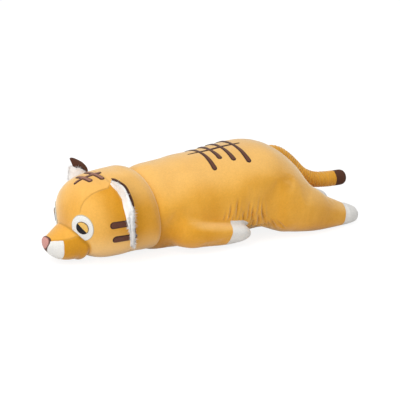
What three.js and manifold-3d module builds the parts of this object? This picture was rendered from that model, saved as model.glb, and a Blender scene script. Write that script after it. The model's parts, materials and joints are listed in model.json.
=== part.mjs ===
// Plush tiger lying on its belly: sewn velour covers over fibre filling, with embroidered face and stripes.
// The head points towards -X, the tail towards +X, and Z is up from the surface that it lies on.
import * as THREE from "three";
import { mergeVertices } from "three/addons/utils/BufferGeometryUtils.js";
import Module from "manifold-3d";

const wasm = await Module();
wasm.setup();

// Driving dimensions in millimetres: the torso starts at the neck, X counts from the middle of the face,
// and heights count from the floor.
const neckPivotX = 90;
const neckRadius = 75;
const torsoLength = 304;
const torsoHeight = 160;
const torsoHalfWidth = 88;
const headRadius = 77;
const headAhead = 103;
const headCentreZ = 76;
const muzzleReach = 110;
const muzzleLength = 84;
const muzzleHeight = 84;
const muzzleHalfWidth = 43;
const forelegStart = 2;
const forelegLength = 153;
const forelegHeight = 66;
const forelegHalfWidth = 27;
const forelegInset = 13;
const hindLegOverlap = 94;
const hindLegLength = 174;
const hindLegHeight = 98;
const hindLegHalfWidth = 44;
const hindLegInset = 34;
const tailRadius = 13.5;
const tailOverlap = 72;
const tailReach = 155;
const tailRootHeight = 122;

// Places that follow from the sizes above
const headCentreX = neckPivotX - headAhead;
const muzzleTipX = headCentreX - muzzleReach;
const torsoEndX = neckPivotX + torsoLength;
const forelegFrontX = neckPivotX + forelegStart;
const hindLegFrontX = torsoEndX - hindLegOverlap;
const tailRootX = torsoEndX - tailOverlap;

// The hinges: each leg turns about a line at its outer front corner, the tail about the front of its root.
const shoulderBehind = 6;
const shoulderInset = 4;
const tailHingeAhead = 2;
const tailHingeRise = 20;

// The face, measured from the middle of the head
const eyeDrop = 4;
const eyeWhiteHalfWidth = 20;
const eyeWhiteHalfHeight = 23;
const irisHalfWidth = 10.5;
const irisHalfHeight = 12.5;
const lidDrop = 2;
const cheekStripeLength = 34;
const cheekStripeWidth = 11;
const upperCheekStripeAhead = 23;
const upperCheekStripeDrop = 2;
const lowerCheekStripeAhead = 17;
const lowerCheekStripeDrop = 28;
const foreheadStemAhead = 24;
const foreheadStemHalf = 25;
const foreheadFrontBarAhead = 32;
const foreheadFrontBarHalf = 14;
const foreheadRearBarAhead = 13;
const foreheadRearBarHalf = 22;
const foreheadBarWidth = 7;

// The nose and the white patches, measured from the muzzle's tip and from the floor
const noseWidth = 28;
const noseHeight = 25;
const noseThickness = 2;
const noseCentreZ = 35;
const muzzlePatchStart = 2;
const muzzlePatchLength = 20;
const muzzlePatchHeight = 38;
const muzzlePatchCentreZ = 28;

// The stripes on the back: the first bar counts from the neck, and the spine stripe runs through the bars.
const backStripeStart = 92;
const backStripeSpacing = 23.5;
const backStripeWidth = 9;
const spineStripeWidth = 6;
const spineStripeAhead = 22;
const spineStripeBehind = 13;

// The ears
const earLeafThickness = 3;
const earCup = 3;
const earRootGap = 0.8;
const earEndGap = 2;

// Fabric, seams and clearances
const clothThickness = 2;
const patchThickness = 0.9;
const seamGap = 0.3;
const limbGap = 0.5;
const floorPress = 0.5;
const neckGap = 0.7;
const headHollowGap = 1.1;
const neckPanelThickness = 2;
const cutOverrun = 900;

// Angles in degrees
const headPitchDegrees = 15;
const neckPanelDegrees = 50;
const eyeTurnDegrees = 37;
const lidSlopeDegrees = 37;
const earBaseTopDegrees = 118;
const earBaseBottomDegrees = 224;

// Shares of the sizes above
const headSeamShare = 0.19;
const bellySeamShare = 0.25;
const forelegPawShare = 0.63;
const hindLegPawShare = 0.86;
const tailTipShare = 0.89;
const noseCornerShare = 0.6;
const backStripeHalfShares = [0.625, 0.41, 0.535, 0.65];

// How finely the forms are drawn
const torsoSides = 28;
const headSides = 28;
const legSides = 16;
const tailSides = 10;
const tailRings = 14;
const earSteps = 12;
const earRows = 4;
const seamRingsPerRow = 6;
const domeRings = 7;
const outlineSteps = 6;
const ballSides = 28;
const neckPanelRings = 4;

const up = new THREE.Vector3(0, 0, 1);
const forwards = new THREE.Vector3(-1, 0, 0);
const backwards = new THREE.Vector3(1, 0, 0);
const leftwards = new THREE.Vector3(0, -1, 0);
const across = new THREE.Vector3(0, 1, 0);

const colours = {
  golden: 0xe6aa4b,
  brown: 0x5a3328,
  white: 0xf0eee8,
  black: 0x1b1520,
  pink: 0xcd968c,
  filling: 0xf4f2ee,
};

function fabric(colour, roughness) {
  return new THREE.MeshStandardMaterial({ color: colour, roughness, metalness: 0 });
}

const velour = fabric(colours.golden, 0.85);
const brownVelour = fabric(colours.brown, 0.85);
const whiteVelour = fabric(colours.white, 0.9);
const brownThread = fabric(colours.brown, 0.6);
const blackThread = fabric(colours.black, 0.5);
const pinkThread = fabric(colours.pink, 0.6);
const fibre = fabric(colours.filling, 1);

// Each row describes one ring of a soft form, which stands across X.
// Its shares come in this order: along, top, bottom, half width, squareness, side shift.
const torsoShares = [
  [0.1, 0.945, 0, 0.88, 2.05, 0],
  [0.18, 0.955, 0, 0.91, 2.15, 0],
  [0.33, 0.965, 0.02, 0.93, 2.25, 0],
  [0.49, 0.985, 0.05, 0.975, 2.3, 0],
  [0.64, 0.99, 0.06, 1, 2.3, 0],
  [0.74, 0.935, 0.06, 0.98, 2.25, 0],
  [0.84, 0.805, 0.05, 0.865, 2.15, 0],
  [0.92, 0.63, 0.06, 0.66, 2.1, 0],
  [0.98, 0.45, 0.1, 0.386, 2, 0],
  [1, 0.263, 0.263, 0, 2, 0],
];
// The head's rows are shares of its radius, counted from its middle.
const headShares = [
  [-0.965, 0, 0, 0, 2, 0],
  [-0.925, 0.33, -0.31, 0.31, 2, 0],
  [-0.81, 0.61, -0.58, 0.6, 2, 0],
  [-0.62, 0.815, -0.78, 0.81, 2.1, 0],
  [-0.35, 0.945, -0.93, 0.935, 2.1, 0],
  [0, 0.96, -1.01, 1, 2.15, 0],
  [0.325, 0.915, -1.055, 1.035, 2.2, 0],
  [0.62, 0.85, -1.13, 1.05, 2.25, 0],
  [0.88, 0.76, -1.17, 1.01, 2.25, 0],
  [1.08, 0.57, -1, 0.8, 2.1, 0],
  [1.18, 0, 0, 0, 2, 0],
];
const muzzleShares = [
  [0, 0.42, 0.42, 0, 2, 0],
  [0.035, 0.56, 0.29, 0.33, 2.1, 0],
  [0.11, 0.605, 0.17, 0.45, 2.2, 0],
  [0.24, 0.67, 0.09, 0.63, 2.2, 0],
  [0.39, 0.76, 0.06, 0.79, 2.2, 0],
  [0.58, 0.88, 0.05, 0.95, 2.1, 0],
  [0.78, 1, 0.05, 1.02, 2, 0],
  [1, 0.5, 0.5, 0, 2, 0],
];
const forelegShares = [
  [0, 0.6, 0.6, 0, 2, 0.77],
  [0.08, 1, 0.24, 0.86, 2, 0.8],
  [0.22, 0.94, 0.15, 0.98, 2, 0.88],
  [0.41, 0.83, 0.14, 0.96, 2, 0.93],
  [0.61, 0.735, 0.12, 0.89, 2, 0.96],
  [0.71, 0.69, 0.11, 0.85, 2, 0.97],
  [0.87, 0.61, 0.12, 0.74, 2, 1],
  [0.965, 0.48, 0.18, 0.46, 2, 1],
  [1, 0.33, 0.33, 0, 2, 1],
];
const hindLegShares = [
  [0, 0.5, 0.5, 0, 2, 0.92],
  [0.07, 0.96, 0.16, 0.82, 2, 0.93],
  [0.2, 1, 0.07, 1, 2, 0.96],
  [0.34, 0.9, 0.03, 0.955, 2, 1],
  [0.48, 0.755, 0, 0.84, 2, 1],
  [0.64, 0.55, 0, 0.67, 2, 1],
  [0.8, 0.425, 0.01, 0.52, 2, 1],
  [0.86, 0.4, 0.02, 0.48, 2, 1],
  [0.95, 0.32, 0.05, 0.33, 2, 1],
  [1, 0.18, 0.18, 0, 2, 1],
];

// Reads a table of rows smoothly, with a few rings between neighbouring rows.
function rowsBetween(shares, ringsPerRow) {
  const width = shares[0].length;
  const times = shares.map((_, index) => index);
  const curve = new THREE.CubicInterpolant(times, shares.flat(), width);
  const count = (shares.length - 1) * ringsPerRow;
  return Array.from({ length: count + 1 }, (_, step) => [...curve.evaluate(step / ringsPerRow)]);
}

function ringOf(row, sizes) {
  const [along, top, bottom, half, power, shift] = row;
  return {
    x: sizes.startX + along * sizes.length,
    y: -shift * sizes.offset,
    top: sizes.middleZ + top * sizes.height,
    bottom: sizes.middleZ + bottom * sizes.height,
    half: half * sizes.halfWidth,
    power,
  };
}

function ringPoint(ring, angle) {
  const across = Math.cos(angle);
  const up = Math.sin(angle);
  const bend = 2 / ring.power;
  const middle = (ring.top + ring.bottom) / 2;
  const rise = (ring.top - ring.bottom) / 2;
  return new THREE.Vector3(
    ring.x,
    ring.y + ring.half * Math.sign(across) * Math.abs(across) ** bend,
    middle + rise * Math.sign(up) * Math.abs(up) ** bend,
  );
}

// A form is a grid of points, ring after ring, closed by a pole at either end.
function formOfRings(rings, sides) {
  const angles = Array.from({ length: sides }, (_, side) => (side / sides) * Math.PI * 2);
  const grid = rings.map((ring) => angles.map((angle) => ringPoint(ring, angle)));
  return { grid: grid.slice(1, -1), first: grid[0][0], last: grid[grid.length - 1][0] };
}

function formOfShares(shares, sizes, sides, ringsPerRow) {
  const rows = rowsBetween(shares, ringsPerRow);
  return formOfRings(rows.map((row) => ringOf(row, sizes)), sides);
}

// The closed skin of a form, moved outwards along its normals by the offset.
function skinOf(form, offset = 0) {
  const { grid, first, last } = form;
  const sides = grid[0].length;
  const before = (ring, side) => (ring > 0 ? grid[ring - 1][side] : first);
  const after = (ring, side) => (ring < grid.length - 1 ? grid[ring + 1][side] : last);
  const moved = grid.map((points, ring) => points.map((point, side) => {
    const along = after(ring, side).clone().sub(before(ring, side));
    const round = points[(side + 1) % sides].clone().sub(points[(side + sides - 1) % sides]);
    return point.clone().addScaledVector(round.cross(along).normalize(), offset);
  }));
  const axis = first.clone().sub(grid[0][0].clone().add(grid[0][sides / 2]).divideScalar(2)).normalize();
  const lastRing = grid[grid.length - 1];
  const tail = last.clone().sub(lastRing[0].clone().add(lastRing[sides / 2]).divideScalar(2)).normalize();
  const points = [first.clone().addScaledVector(axis, offset), ...moved.flat()];
  points.push(last.clone().addScaledVector(tail, offset));
  const index = [];
  const at = (ring, side) => 1 + ring * sides + (side % sides);
  for (let side = 0; side < sides; side++) {
    index.push(0, at(0, side + 1), at(0, side));
    index.push(points.length - 1, at(grid.length - 1, side), at(grid.length - 1, side + 1));
  }
  for (let ring = 0; ring < grid.length - 1; ring++) {
    for (let side = 0; side < sides; side++) {
      index.push(at(ring, side), at(ring, side + 1), at(ring + 1, side + 1));
      index.push(at(ring, side), at(ring + 1, side + 1), at(ring + 1, side));
    }
  }
  const geometry = new THREE.BufferGeometry().setFromPoints(points);
  geometry.setIndex(index);
  return geometry;
}

function solidOf(geometry) {
  const bare = geometry.clone();
  bare.deleteAttribute("normal");
  bare.deleteAttribute("uv");
  const merged = mergeVertices(bare, 1e-4);
  const triVerts = new Uint32Array(merged.index.array);
  return new wasm.Manifold(
    new wasm.Mesh({ numProp: 3, vertProperties: merged.attributes.position.array, triVerts }),
  );
}

function geometryOf(solid) {
  const mesh = solid.getMesh();
  const geometry = new THREE.BufferGeometry();
  geometry.setAttribute("position", new THREE.BufferAttribute(mesh.vertProperties, 3));
  geometry.setIndex(new THREE.BufferAttribute(mesh.triVerts, 1));
  return geometry;
}

// A block that fills one side of a plane, for trimming: the plane faces along the direction.
function halfSpace(point, direction) {
  const block = new THREE.BoxGeometry(cutOverrun * 2, cutOverrun * 2, cutOverrun * 2);
  block.translate(0, 0, -cutOverrun);
  block.applyQuaternion(new THREE.Quaternion().setFromUnitVectors(up, direction));
  block.translate(point.x, point.y, point.z);
  return solidOf(block);
}

const belowFloor = halfSpace(new THREE.Vector3(0, 0, floorPress), up);

// Extrudes an outline along a direction: seen from its far end, the outline's x lies to the right.
function prism(outline, depth, centre, direction, side) {
  const block = new THREE.ExtrudeGeometry(outline, {
    depth,
    bevelEnabled: false,
    curveSegments: outlineSteps,
  });
  const right = side ?? new THREE.Vector3().crossVectors(up, direction).normalize();
  const rising = new THREE.Vector3().crossVectors(direction, right);
  block.applyMatrix4(new THREE.Matrix4().makeBasis(right, rising, direction));
  block.translate(centre.x, centre.y, centre.z);
  return solidOf(block);
}

// The torso: a round dome for the head to sit on, then the barrel and the rump.
function torsoForm() {
  const dome = Array.from({ length: domeRings }, (_, step) => {
    const angle = (step / domeRings) * (Math.PI / 2);
    const radius = neckRadius * Math.sin(angle);
    const x = neckPivotX - neckRadius * Math.cos(angle);
    return { x, y: 0, top: neckRadius + radius, bottom: neckRadius - radius, half: radius, power: 2 };
  });
  const neckRow = [0, (neckRadius * 2) / torsoHeight, 0, neckRadius / torsoHalfWidth, 2, 0];
  const sizes = {
    startX: neckPivotX,
    length: torsoLength,
    middleZ: 0,
    height: torsoHeight,
    halfWidth: torsoHalfWidth,
    offset: 0,
  };
  const barrel = rowsBetween([neckRow, ...torsoShares], 1).map((row) => ringOf(row, sizes));
  return formOfRings([...dome, ...barrel], torsoSides);
}

const headTilt = THREE.MathUtils.degToRad(headPitchDegrees);

function placeOnHead(geometry) {
  return geometry.rotateY(-headTilt).translate(headCentreX, 0, headCentreZ);
}

const headSizes = {
  startX: 0,
  length: headRadius,
  middleZ: 0,
  height: headRadius,
  halfWidth: headRadius,
  offset: 0,
};

function headForm() {
  return formOfShares(headShares, headSizes, headSides, 1);
}

function muzzleForm() {
  const sizes = {
    startX: muzzleTipX,
    length: muzzleLength,
    middleZ: 0,
    height: muzzleHeight,
    halfWidth: muzzleHalfWidth,
    offset: 0,
  };
  return formOfShares(muzzleShares, sizes, legSides, 1);
}

function forelegForm() {
  const sizes = {
    startX: forelegFrontX,
    length: forelegLength,
    middleZ: 0,
    height: forelegHeight,
    halfWidth: forelegHalfWidth,
    offset: torsoHalfWidth - forelegInset,
  };
  return formOfShares(forelegShares, sizes, legSides, 1);
}

function hindLegForm() {
  const sizes = {
    startX: hindLegFrontX,
    length: hindLegLength,
    middleZ: 0,
    height: hindLegHeight,
    halfWidth: hindLegHalfWidth,
    offset: torsoHalfWidth - hindLegInset,
  };
  return formOfShares(hindLegShares, sizes, legSides, 1);
}

// The tail's middle line leaves the top of the rump, drops behind it and levels out.
const tailPathShares = [
  [0, 1],
  [0.1, 1.06],
  [0.225, 0.97],
  [0.34, 0.845],
  [0.46, 0.7],
  [0.62, 0.6],
  [0.8, 0.565],
  [1, 0.555],
];

// The rounded end of the tail: how far on and how wide, as shares of its radius
const tailEndShares = [[0.55, 0.835], [0.86, 0.51]];

function tailForm() {
  const path = new THREE.CatmullRomCurve3(tailPathShares.map(([along, high]) => (
    new THREE.Vector3(tailRootX + along * (tailReach - tailRadius), 0, high * tailRootHeight)
  )));
  const grid = [];
  for (let ring = 0; ring <= tailRings; ring++) {
    const centre = path.getPointAt(ring / tailRings);
    const side = new THREE.Vector3().crossVectors(path.getTangentAt(ring / tailRings), across);
    grid.push(ringAround(centre, side, tailRadius, tailSides));
  }
  const end = path.getPointAt(1);
  for (const [reach, radius] of tailEndShares) {
    const centre = end.clone().addScaledVector(backwards, reach * tailRadius);
    grid.push(ringAround(centre, up, radius * tailRadius, tailSides));
  }
  const start = path.getPointAt(0).addScaledVector(path.getTangentAt(0), -seamGap);
  return { grid, first: start, last: end.clone().addScaledVector(backwards, tailRadius) };
}

// A ring of points in the plane of Y and the given direction
function ringAround(centre, rising, radius, sides) {
  return Array.from({ length: sides }, (_, side) => {
    const angle = (side / sides) * Math.PI * 2;
    return centre.clone()
      .addScaledVector(across, Math.cos(angle) * radius)
      .addScaledVector(rising, Math.sin(angle) * radius);
  });
}

const forms = {
  torso: torsoForm(),
  head: headForm(),
  muzzle: muzzleForm(),
  foreleg: forelegForm(),
  hindLeg: hindLegForm(),
  tail: tailForm(),
};

// Solids of a whole form and of its hollow cover
function bodyOf(form, offset = 0) {
  return solidOf(skinOf(form, offset));
}

function coverOf(form) {
  return bodyOf(form).subtract(bodyOf(form, -clothThickness));
}

function fillingOf(form) {
  return bodyOf(form, -clothThickness - seamGap);
}

function headBodyAt(offset) {
  return solidOf(placeOnHead(skinOf(forms.head, offset)));
}

// The ball that the head turns on, at a radius outside the torso's dome
function ballAt(radius) {
  const ball = new THREE.SphereGeometry(radius, ballSides, ballSides / 2);
  ball.rotateZ(Math.PI / 2).translate(neckPivotX, 0, neckRadius);
  return solidOf(ball);
}

const neckHollowRadius = neckRadius + neckGap + neckPanelThickness + headHollowGap;
const torsoWithRoom = bodyOf(forms.torso, limbGap);

// The torso's two panels meet in a seam low on the flanks, and the filling lies inside them.
function torsoPieces() {
  const seam = new THREE.Vector3(0, 0, bellySeamShare * torsoHeight);
  const aboveSeam = seam.clone().addScaledVector(up, seamGap);
  const cover = coverOf(forms.torso);
  return {
    backPanel: cover.subtract(halfSpace(aboveSeam, up)),
    bellyPanel: cover.intersect(halfSpace(seam, up)).subtract(belowFloor),
    filling: fillingOf(forms.torso),
  };
}

// A round cap of fabric between the torso's dome and the hollow at the back of the head
function neckPanel() {
  const inner = neckRadius + neckGap;
  const outer = inner + neckPanelThickness;
  const edge = THREE.MathUtils.degToRad(neckPanelDegrees);
  const arc = (radius) => Array.from({ length: neckPanelRings + 1 }, (_, ring) => {
    const angle = (ring / neckPanelRings) * edge;
    return new THREE.Vector2(radius * Math.sin(angle), radius * Math.cos(angle));
  });
  const profile = [...arc(inner), ...arc(outer).reverse()];
  const cap = new THREE.LatheGeometry(profile, ballSides);
  return cap.rotateZ(Math.PI / 2).translate(neckPivotX, 0, neckRadius);
}

function headPieces() {
  const seam = placePoint(headSeamShare * headRadius);
  const behindSeam = placePoint(headSeamShare * headRadius + seamGap);
  const facing = backwards.clone().applyAxisAngle(across, -headTilt);
  const hollow = ballAt(neckHollowRadius);
  const cover = headBodyAt(0).subtract(headBodyAt(-clothThickness)).subtract(hollow).subtract(belowFloor);
  const muzzleHole = bodyOf(forms.muzzle, -clothThickness);
  const inside = headBodyAt(-clothThickness - seamGap).add(fillingOf(forms.muzzle));
  const muzzle = coverOf(forms.muzzle).subtract(headBodyAt(seamGap)).subtract(belowFloor);
  return {
    face: cover.intersect(halfSpace(seam, facing)).subtract(muzzleHole),
    backOfHead: cover.subtract(halfSpace(behindSeam, facing)),
    muzzle,
    filling: inside.subtract(ballAt(neckHollowRadius)).subtract(belowFloor),
  };
}

function placePoint(along) {
  return new THREE.Vector3(along, 0, 0)
    .applyAxisAngle(across, -headTilt)
    .add(new THREE.Vector3(headCentreX, 0, headCentreZ));
}

// A sleeve and a paw meet in a seam across the leg, and both are cut where the torso lies against them.
function legPieces(form, seamX) {
  const seam = new THREE.Vector3(seamX, 0, 0);
  const behindSeam = new THREE.Vector3(seamX + seamGap, 0, 0);
  const cover = coverOf(form).subtract(torsoWithRoom).subtract(belowFloor);
  return {
    sleeve: cover.intersect(halfSpace(seam, backwards)),
    paw: cover.subtract(halfSpace(behindSeam, backwards)),
    filling: fillingOf(form).subtract(torsoWithRoom).subtract(belowFloor),
  };
}

function tailPieces() {
  const seamX = tailRootX + tailTipShare * tailReach;
  const cover = coverOf(forms.tail).subtract(torsoWithRoom);
  return {
    sleeve: cover.intersect(halfSpace(new THREE.Vector3(seamX, 0, 0), backwards)),
    tip: cover.subtract(halfSpace(new THREE.Vector3(seamX + seamGap, 0, 0), backwards)),
    filling: fillingOf(forms.tail).subtract(torsoWithRoom),
  };
}

// The ear stands on the head's cross seam: shares of the head's radius, in the head's own directions.
const earEdgeShares = [
  [0.14, -1.1, 1.02],
  [0.25, -1.12, 0.84],
  [0.28, -1.2, 0.4],
  [0.21, -1.2, -0.06],
  [0.17, -1.12, -0.46],
  [0.17, -0.93, -0.68],
];

// The head's ring at the cross seam, where the ear is sewn in
function seamRing() {
  const rows = rowsBetween(headShares, seamRingsPerRow);
  const distance = ([along]) => Math.abs(along - headSeamShare);
  const nearest = rows.reduce((best, row) => (distance(row) < distance(best) ? row : best));
  return ringOf(nearest, headSizes);
}

function earGrid() {
  const ring = seamRing();
  const edge = new THREE.CatmullRomCurve3(earEdgeShares.map((point) => (
    new THREE.Vector3(...point).multiplyScalar(headRadius)
  )));
  return Array.from({ length: earSteps + 1 }, (_, step) => {
    const turn = THREE.MathUtils.lerp(earBaseTopDegrees, earBaseBottomDegrees, step / earSteps);
    const base = ringPoint(ring, THREE.MathUtils.degToRad(turn));
    const outward = new THREE.Vector3(0, base.y, base.z).normalize();
    const middle = 1 - Math.abs(1 - (step * 2) / earSteps);
    base.addScaledVector(outward, THREE.MathUtils.lerp(earEndGap, earRootGap, middle));
    const free = edge.getPointAt(step / earSteps);
    return Array.from({ length: earRows + 1 }, (_, row) => {
      const out = row / earRows;
      const point = base.clone().lerp(free, out);
      point.x += Math.sin(out * Math.PI) * earCup;
      return point;
    });
  });
}

// One leaf of the ear, on the front or the back of its middle surface
function earLeaf(side) {
  const grid = earGrid();
  const last = { step: grid.length - 1, row: earRows };
  const normalAt = (step, row) => {
    const along = grid[Math.min(step + 1, last.step)][row].clone().sub(grid[Math.max(step - 1, 0)][row]);
    const out = grid[step][Math.min(row + 1, last.row)].clone().sub(grid[step][Math.max(row - 1, 0)]);
    return out.cross(along).normalize().multiplyScalar(side);
  };
  const thicknessAt = (row) => {
    const fullness = Math.sin(((row + 1) / (earRows + 2)) * Math.PI);
    return earLeafThickness * fullness;
  };
  const sheet = (liftAt) => grid.map((points, step) => points.map((point, row) => (
    point.clone().addScaledVector(normalAt(step, row), liftAt(row))
  )));
  const inner = sheet(() => seamGap / 2);
  const outer = sheet((row) => seamGap / 2 + thicknessAt(row));
  const leaf = solidOf(placeOnHead(slabBetween(inner, outer, side > 0)));
  return geometryOf(leaf.subtract(headBodyAt(earRootGap)));
}

// A closed slab between two sheets of points
function slabBetween(lower, upper, turned) {
  const steps = lower.length;
  const rows = lower[0].length;
  const points = [...lower.flat(), ...upper.flat()];
  const index = [];
  const quad = (a, b, c, d) => (turned ? index.push(a, c, b, a, d, c) : index.push(a, b, c, a, c, d));
  const low = (step, row) => step * rows + row;
  const high = (step, row) => steps * rows + low(step, row);
  for (let step = 0; step < steps - 1; step++) {
    for (let row = 0; row < rows - 1; row++) {
      quad(low(step, row), low(step, row + 1), low(step + 1, row + 1), low(step + 1, row));
      quad(high(step, row), high(step + 1, row), high(step + 1, row + 1), high(step, row + 1));
    }
    quad(low(step, 0), low(step + 1, 0), high(step + 1, 0), high(step, 0));
    quad(high(step, rows - 1), high(step + 1, rows - 1), low(step + 1, rows - 1), low(step, rows - 1));
  }
  for (let row = 0; row < rows - 1; row++) {
    const end = steps - 1;
    quad(low(0, row), high(0, row), high(0, row + 1), low(0, row + 1));
    quad(high(end, row), low(end, row), low(end, row + 1), high(end, row + 1));
  }
  const geometry = new THREE.BufferGeometry().setFromPoints(points);
  geometry.setIndex(index);
  return geometry;
}

// Outlines of the embroidered patches, drawn as seen from outside
function capsuleOutline(length, width) {
  const radius = width / 2;
  const shape = new THREE.Shape();
  shape.moveTo(length, -radius);
  shape.lineTo(length, radius);
  shape.lineTo(radius, radius);
  shape.absarc(radius, 0, radius, Math.PI / 2, -Math.PI / 2, false);
  return shape;
}

function ovalOutline(halfWidth, halfHeight) {
  const shape = new THREE.Shape();
  shape.absellipse(0, 0, halfWidth, halfHeight, 0, Math.PI * 2, false, 0);
  return shape;
}

// The nose is a triangle with round corners that points down.
function noseOutline(spread = 0) {
  const half = noseWidth / 2 + spread;
  const high = noseHeight / 2 + spread;
  const shape = new THREE.Shape();
  shape.moveTo(0, -high);
  shape.quadraticCurveTo(half * noseCornerShare, -high, half, 0);
  shape.quadraticCurveTo(half, high, 0, high);
  shape.quadraticCurveTo(-half, high, -half, 0);
  shape.quadraticCurveTo(-half * noseCornerShare, -high, 0, -high);
  return shape;
}

function nosePrism(spread) {
  const start = new THREE.Vector3(muzzleTipX + noseWidth, 0, noseCentreZ);
  return prism(noseOutline(spread), cutOverrun, start, forwards);
}

function rectangleOutline(width, height) {
  const shape = new THREE.Shape();
  shape.moveTo(-width / 2, -height / 2);
  shape.lineTo(width / 2, -height / 2);
  shape.lineTo(width / 2, height / 2);
  shape.lineTo(-width / 2, height / 2);
  return shape;
}

// A thin layer over a form's skin, kept only inside the prism
function patchOn(bodyAt, prismSolid, lift, thickness) {
  return bodyAt(lift + thickness).subtract(bodyAt(lift)).intersect(prismSolid);
}

const muzzleBodyAt = (offset) => bodyOf(forms.muzzle, offset);
const torsoBodyAt = (offset) => bodyOf(forms.torso, offset);

function eyePieces() {
  const turn = THREE.MathUtils.degToRad(eyeTurnDegrees);
  const facing = forwards.clone().applyAxisAngle(up, turn);
  const start = new THREE.Vector3(headCentreX, 0, headCentreZ - eyeDrop);
  const onHead = (outline, lift) => {
    const block = prism(outline, cutOverrun, start, facing);
    return patchOn(headBodyAt, block, lift, patchThickness).subtract(muzzleBodyAt(seamGap));
  };
  const slope = THREE.MathUtils.degToRad(-lidSlopeDegrees);
  const lidSide = new THREE.Vector3().crossVectors(up, facing).applyAxisAngle(facing, slope);
  const lidRise = facing.clone().cross(lidSide);
  const lidPoint = start.clone().addScaledVector(lidRise, -lidDrop);
  const iris = onHead(ovalOutline(irisHalfWidth, irisHalfHeight), seamGap + patchThickness + seamGap);
  const belowLid = halfSpace(lidPoint, lidRise);
  const pastLidEdge = halfSpace(lidPoint.clone().addScaledVector(lidRise, seamGap), lidRise);
  return {
    white: onHead(ovalOutline(eyeWhiteHalfWidth, eyeWhiteHalfHeight), seamGap),
    lid: iris.subtract(pastLidEdge),
    pupil: iris.intersect(belowLid),
  };
}

function nosePiece() {
  return patchOn(muzzleBodyAt, nosePrism(), seamGap, noseThickness);
}

function muzzlePatch() {
  const middleX = muzzleTipX + muzzlePatchStart + muzzlePatchLength / 2;
  const centre = new THREE.Vector3(middleX, -seamGap, muzzlePatchCentreZ);
  const block = prism(rectangleOutline(muzzlePatchLength, muzzlePatchHeight), cutOverrun, centre, leftwards);
  const patch = patchOn(muzzleBodyAt, block, seamGap, patchThickness);
  return patch.subtract(nosePrism(seamGap)).subtract(belowFloor);
}

function cheekStripe(ahead, drop) {
  const start = new THREE.Vector3(headCentreX - ahead, 0, headCentreZ - drop);
  const block = prism(capsuleOutline(cheekStripeLength, cheekStripeWidth), cutOverrun, start, leftwards);
  return patchOn(headBodyAt, block, seamGap, patchThickness);
}

// Bars drawn on top of the head or the back: each has a middle, a half length and a direction.
function topMark(bodyAt, bars, baseZ) {
  const blocks = bars.map(({ x, half, width, along }) => {
    const outline = barOutline(half, width);
    return prism(outline, cutOverrun, new THREE.Vector3(x, 0, baseZ), up, along);
  });
  const joined = blocks.reduce((all, block) => all.add(block));
  return patchOn(bodyAt, joined, seamGap, patchThickness);
}

function barOutline(half, width) {
  const shape = new THREE.Shape();
  const radius = width / 2;
  shape.moveTo(half - radius, -radius);
  shape.absarc(half - radius, 0, radius, -Math.PI / 2, Math.PI / 2, false);
  shape.absarc(radius - half, 0, radius, Math.PI / 2, Math.PI * 1.5, false);
  return shape;
}

function foreheadMark() {
  const bar = (ahead, half, along) => ({ x: headCentreX - ahead, half, width: foreheadBarWidth, along });
  const bars = [
    bar(foreheadFrontBarAhead, foreheadFrontBarHalf, across),
    bar(foreheadRearBarAhead, foreheadRearBarHalf, across),
    bar(foreheadStemAhead, foreheadStemHalf, backwards),
  ];
  return topMark(headBodyAt, bars, headCentreZ);
}

function backMark() {
  const firstX = neckPivotX + backStripeStart;
  const bars = backStripeHalfShares.map((share, index) => {
    const half = share * torsoHalfWidth;
    return { x: firstX + index * backStripeSpacing, half, width: backStripeWidth, along: across };
  });
  const lastX = bars[bars.length - 1].x;
  const spineStartX = firstX - spineStripeAhead;
  const spineEndX = lastX + spineStripeBehind;
  const half = (spineEndX - spineStartX) / 2;
  bars.push({ x: spineStartX + half, half, width: spineStripeWidth, along: backwards });
  return topMark(torsoBodyAt, bars, torsoHeight / 2);
}

// A moving piece of the tiger hangs on a group that stands at its joint.
function groupAt(parent, x, y, z) {
  const group = new THREE.Group();
  group.position.set(x, y, z);
  parent.add(group);
  return group;
}

function addPiece(group, pivot, name, geometry, material, mirrored = false) {
  const placed = geometry.clone().translate(-pivot.x, -pivot.y, -pivot.z);
  placed.computeVertexNormals();
  const mesh = new THREE.Mesh(placed, material);
  mesh.name = name;
  if (mirrored) mesh.scale.y = -1;
  group.add(mesh);
}

const sides = [
  { name: "left", mirrored: false },
  { name: "right", mirrored: true },
];

// Adds a body's pieces for one side, or for both as mirror images.
function addBody(parent, pivot, pieces, side = sides[0], prefix = "") {
  const y = side.mirrored ? -pivot.y : pivot.y;
  const group = groupAt(parent, pivot.x, y, pivot.z);
  for (const [name, [geometry, material]] of Object.entries(pieces)) {
    addPiece(group, pivot, prefix + name, geometry, material, side.mirrored);
  }
  return group;
}

function buildTiger() {
  const tiger = new THREE.Group();
  const origin = new THREE.Vector3();
  const torso = torsoPieces();
  addBody(tiger, origin, {
    torso_back_cover: [geometryOf(torso.backPanel), velour],
    belly_cover: [geometryOf(torso.bellyPanel), velour],
    torso_filling: [geometryOf(torso.filling), fibre],
    back_stripes: [geometryOf(backMark()), brownThread],
  });
  const neckPivot = new THREE.Vector3(neckPivotX, 0, neckRadius);
  addBody(tiger, neckPivot, { neck_panel: [neckPanel(), velour] });
  addHead(tiger, neckPivot);
  addLimbs(tiger);
  const tail = tailPieces();
  const tailHinge = new THREE.Vector3(tailRootX - tailHingeAhead, 0, tailRootHeight + tailHingeRise);
  addBody(tiger, tailHinge, {
    tail_sleeve: [geometryOf(tail.sleeve), velour],
    tail_tip: [geometryOf(tail.tip), brownVelour],
    tail_filling: [geometryOf(tail.filling), fibre],
  });
  return tiger;
}

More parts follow.
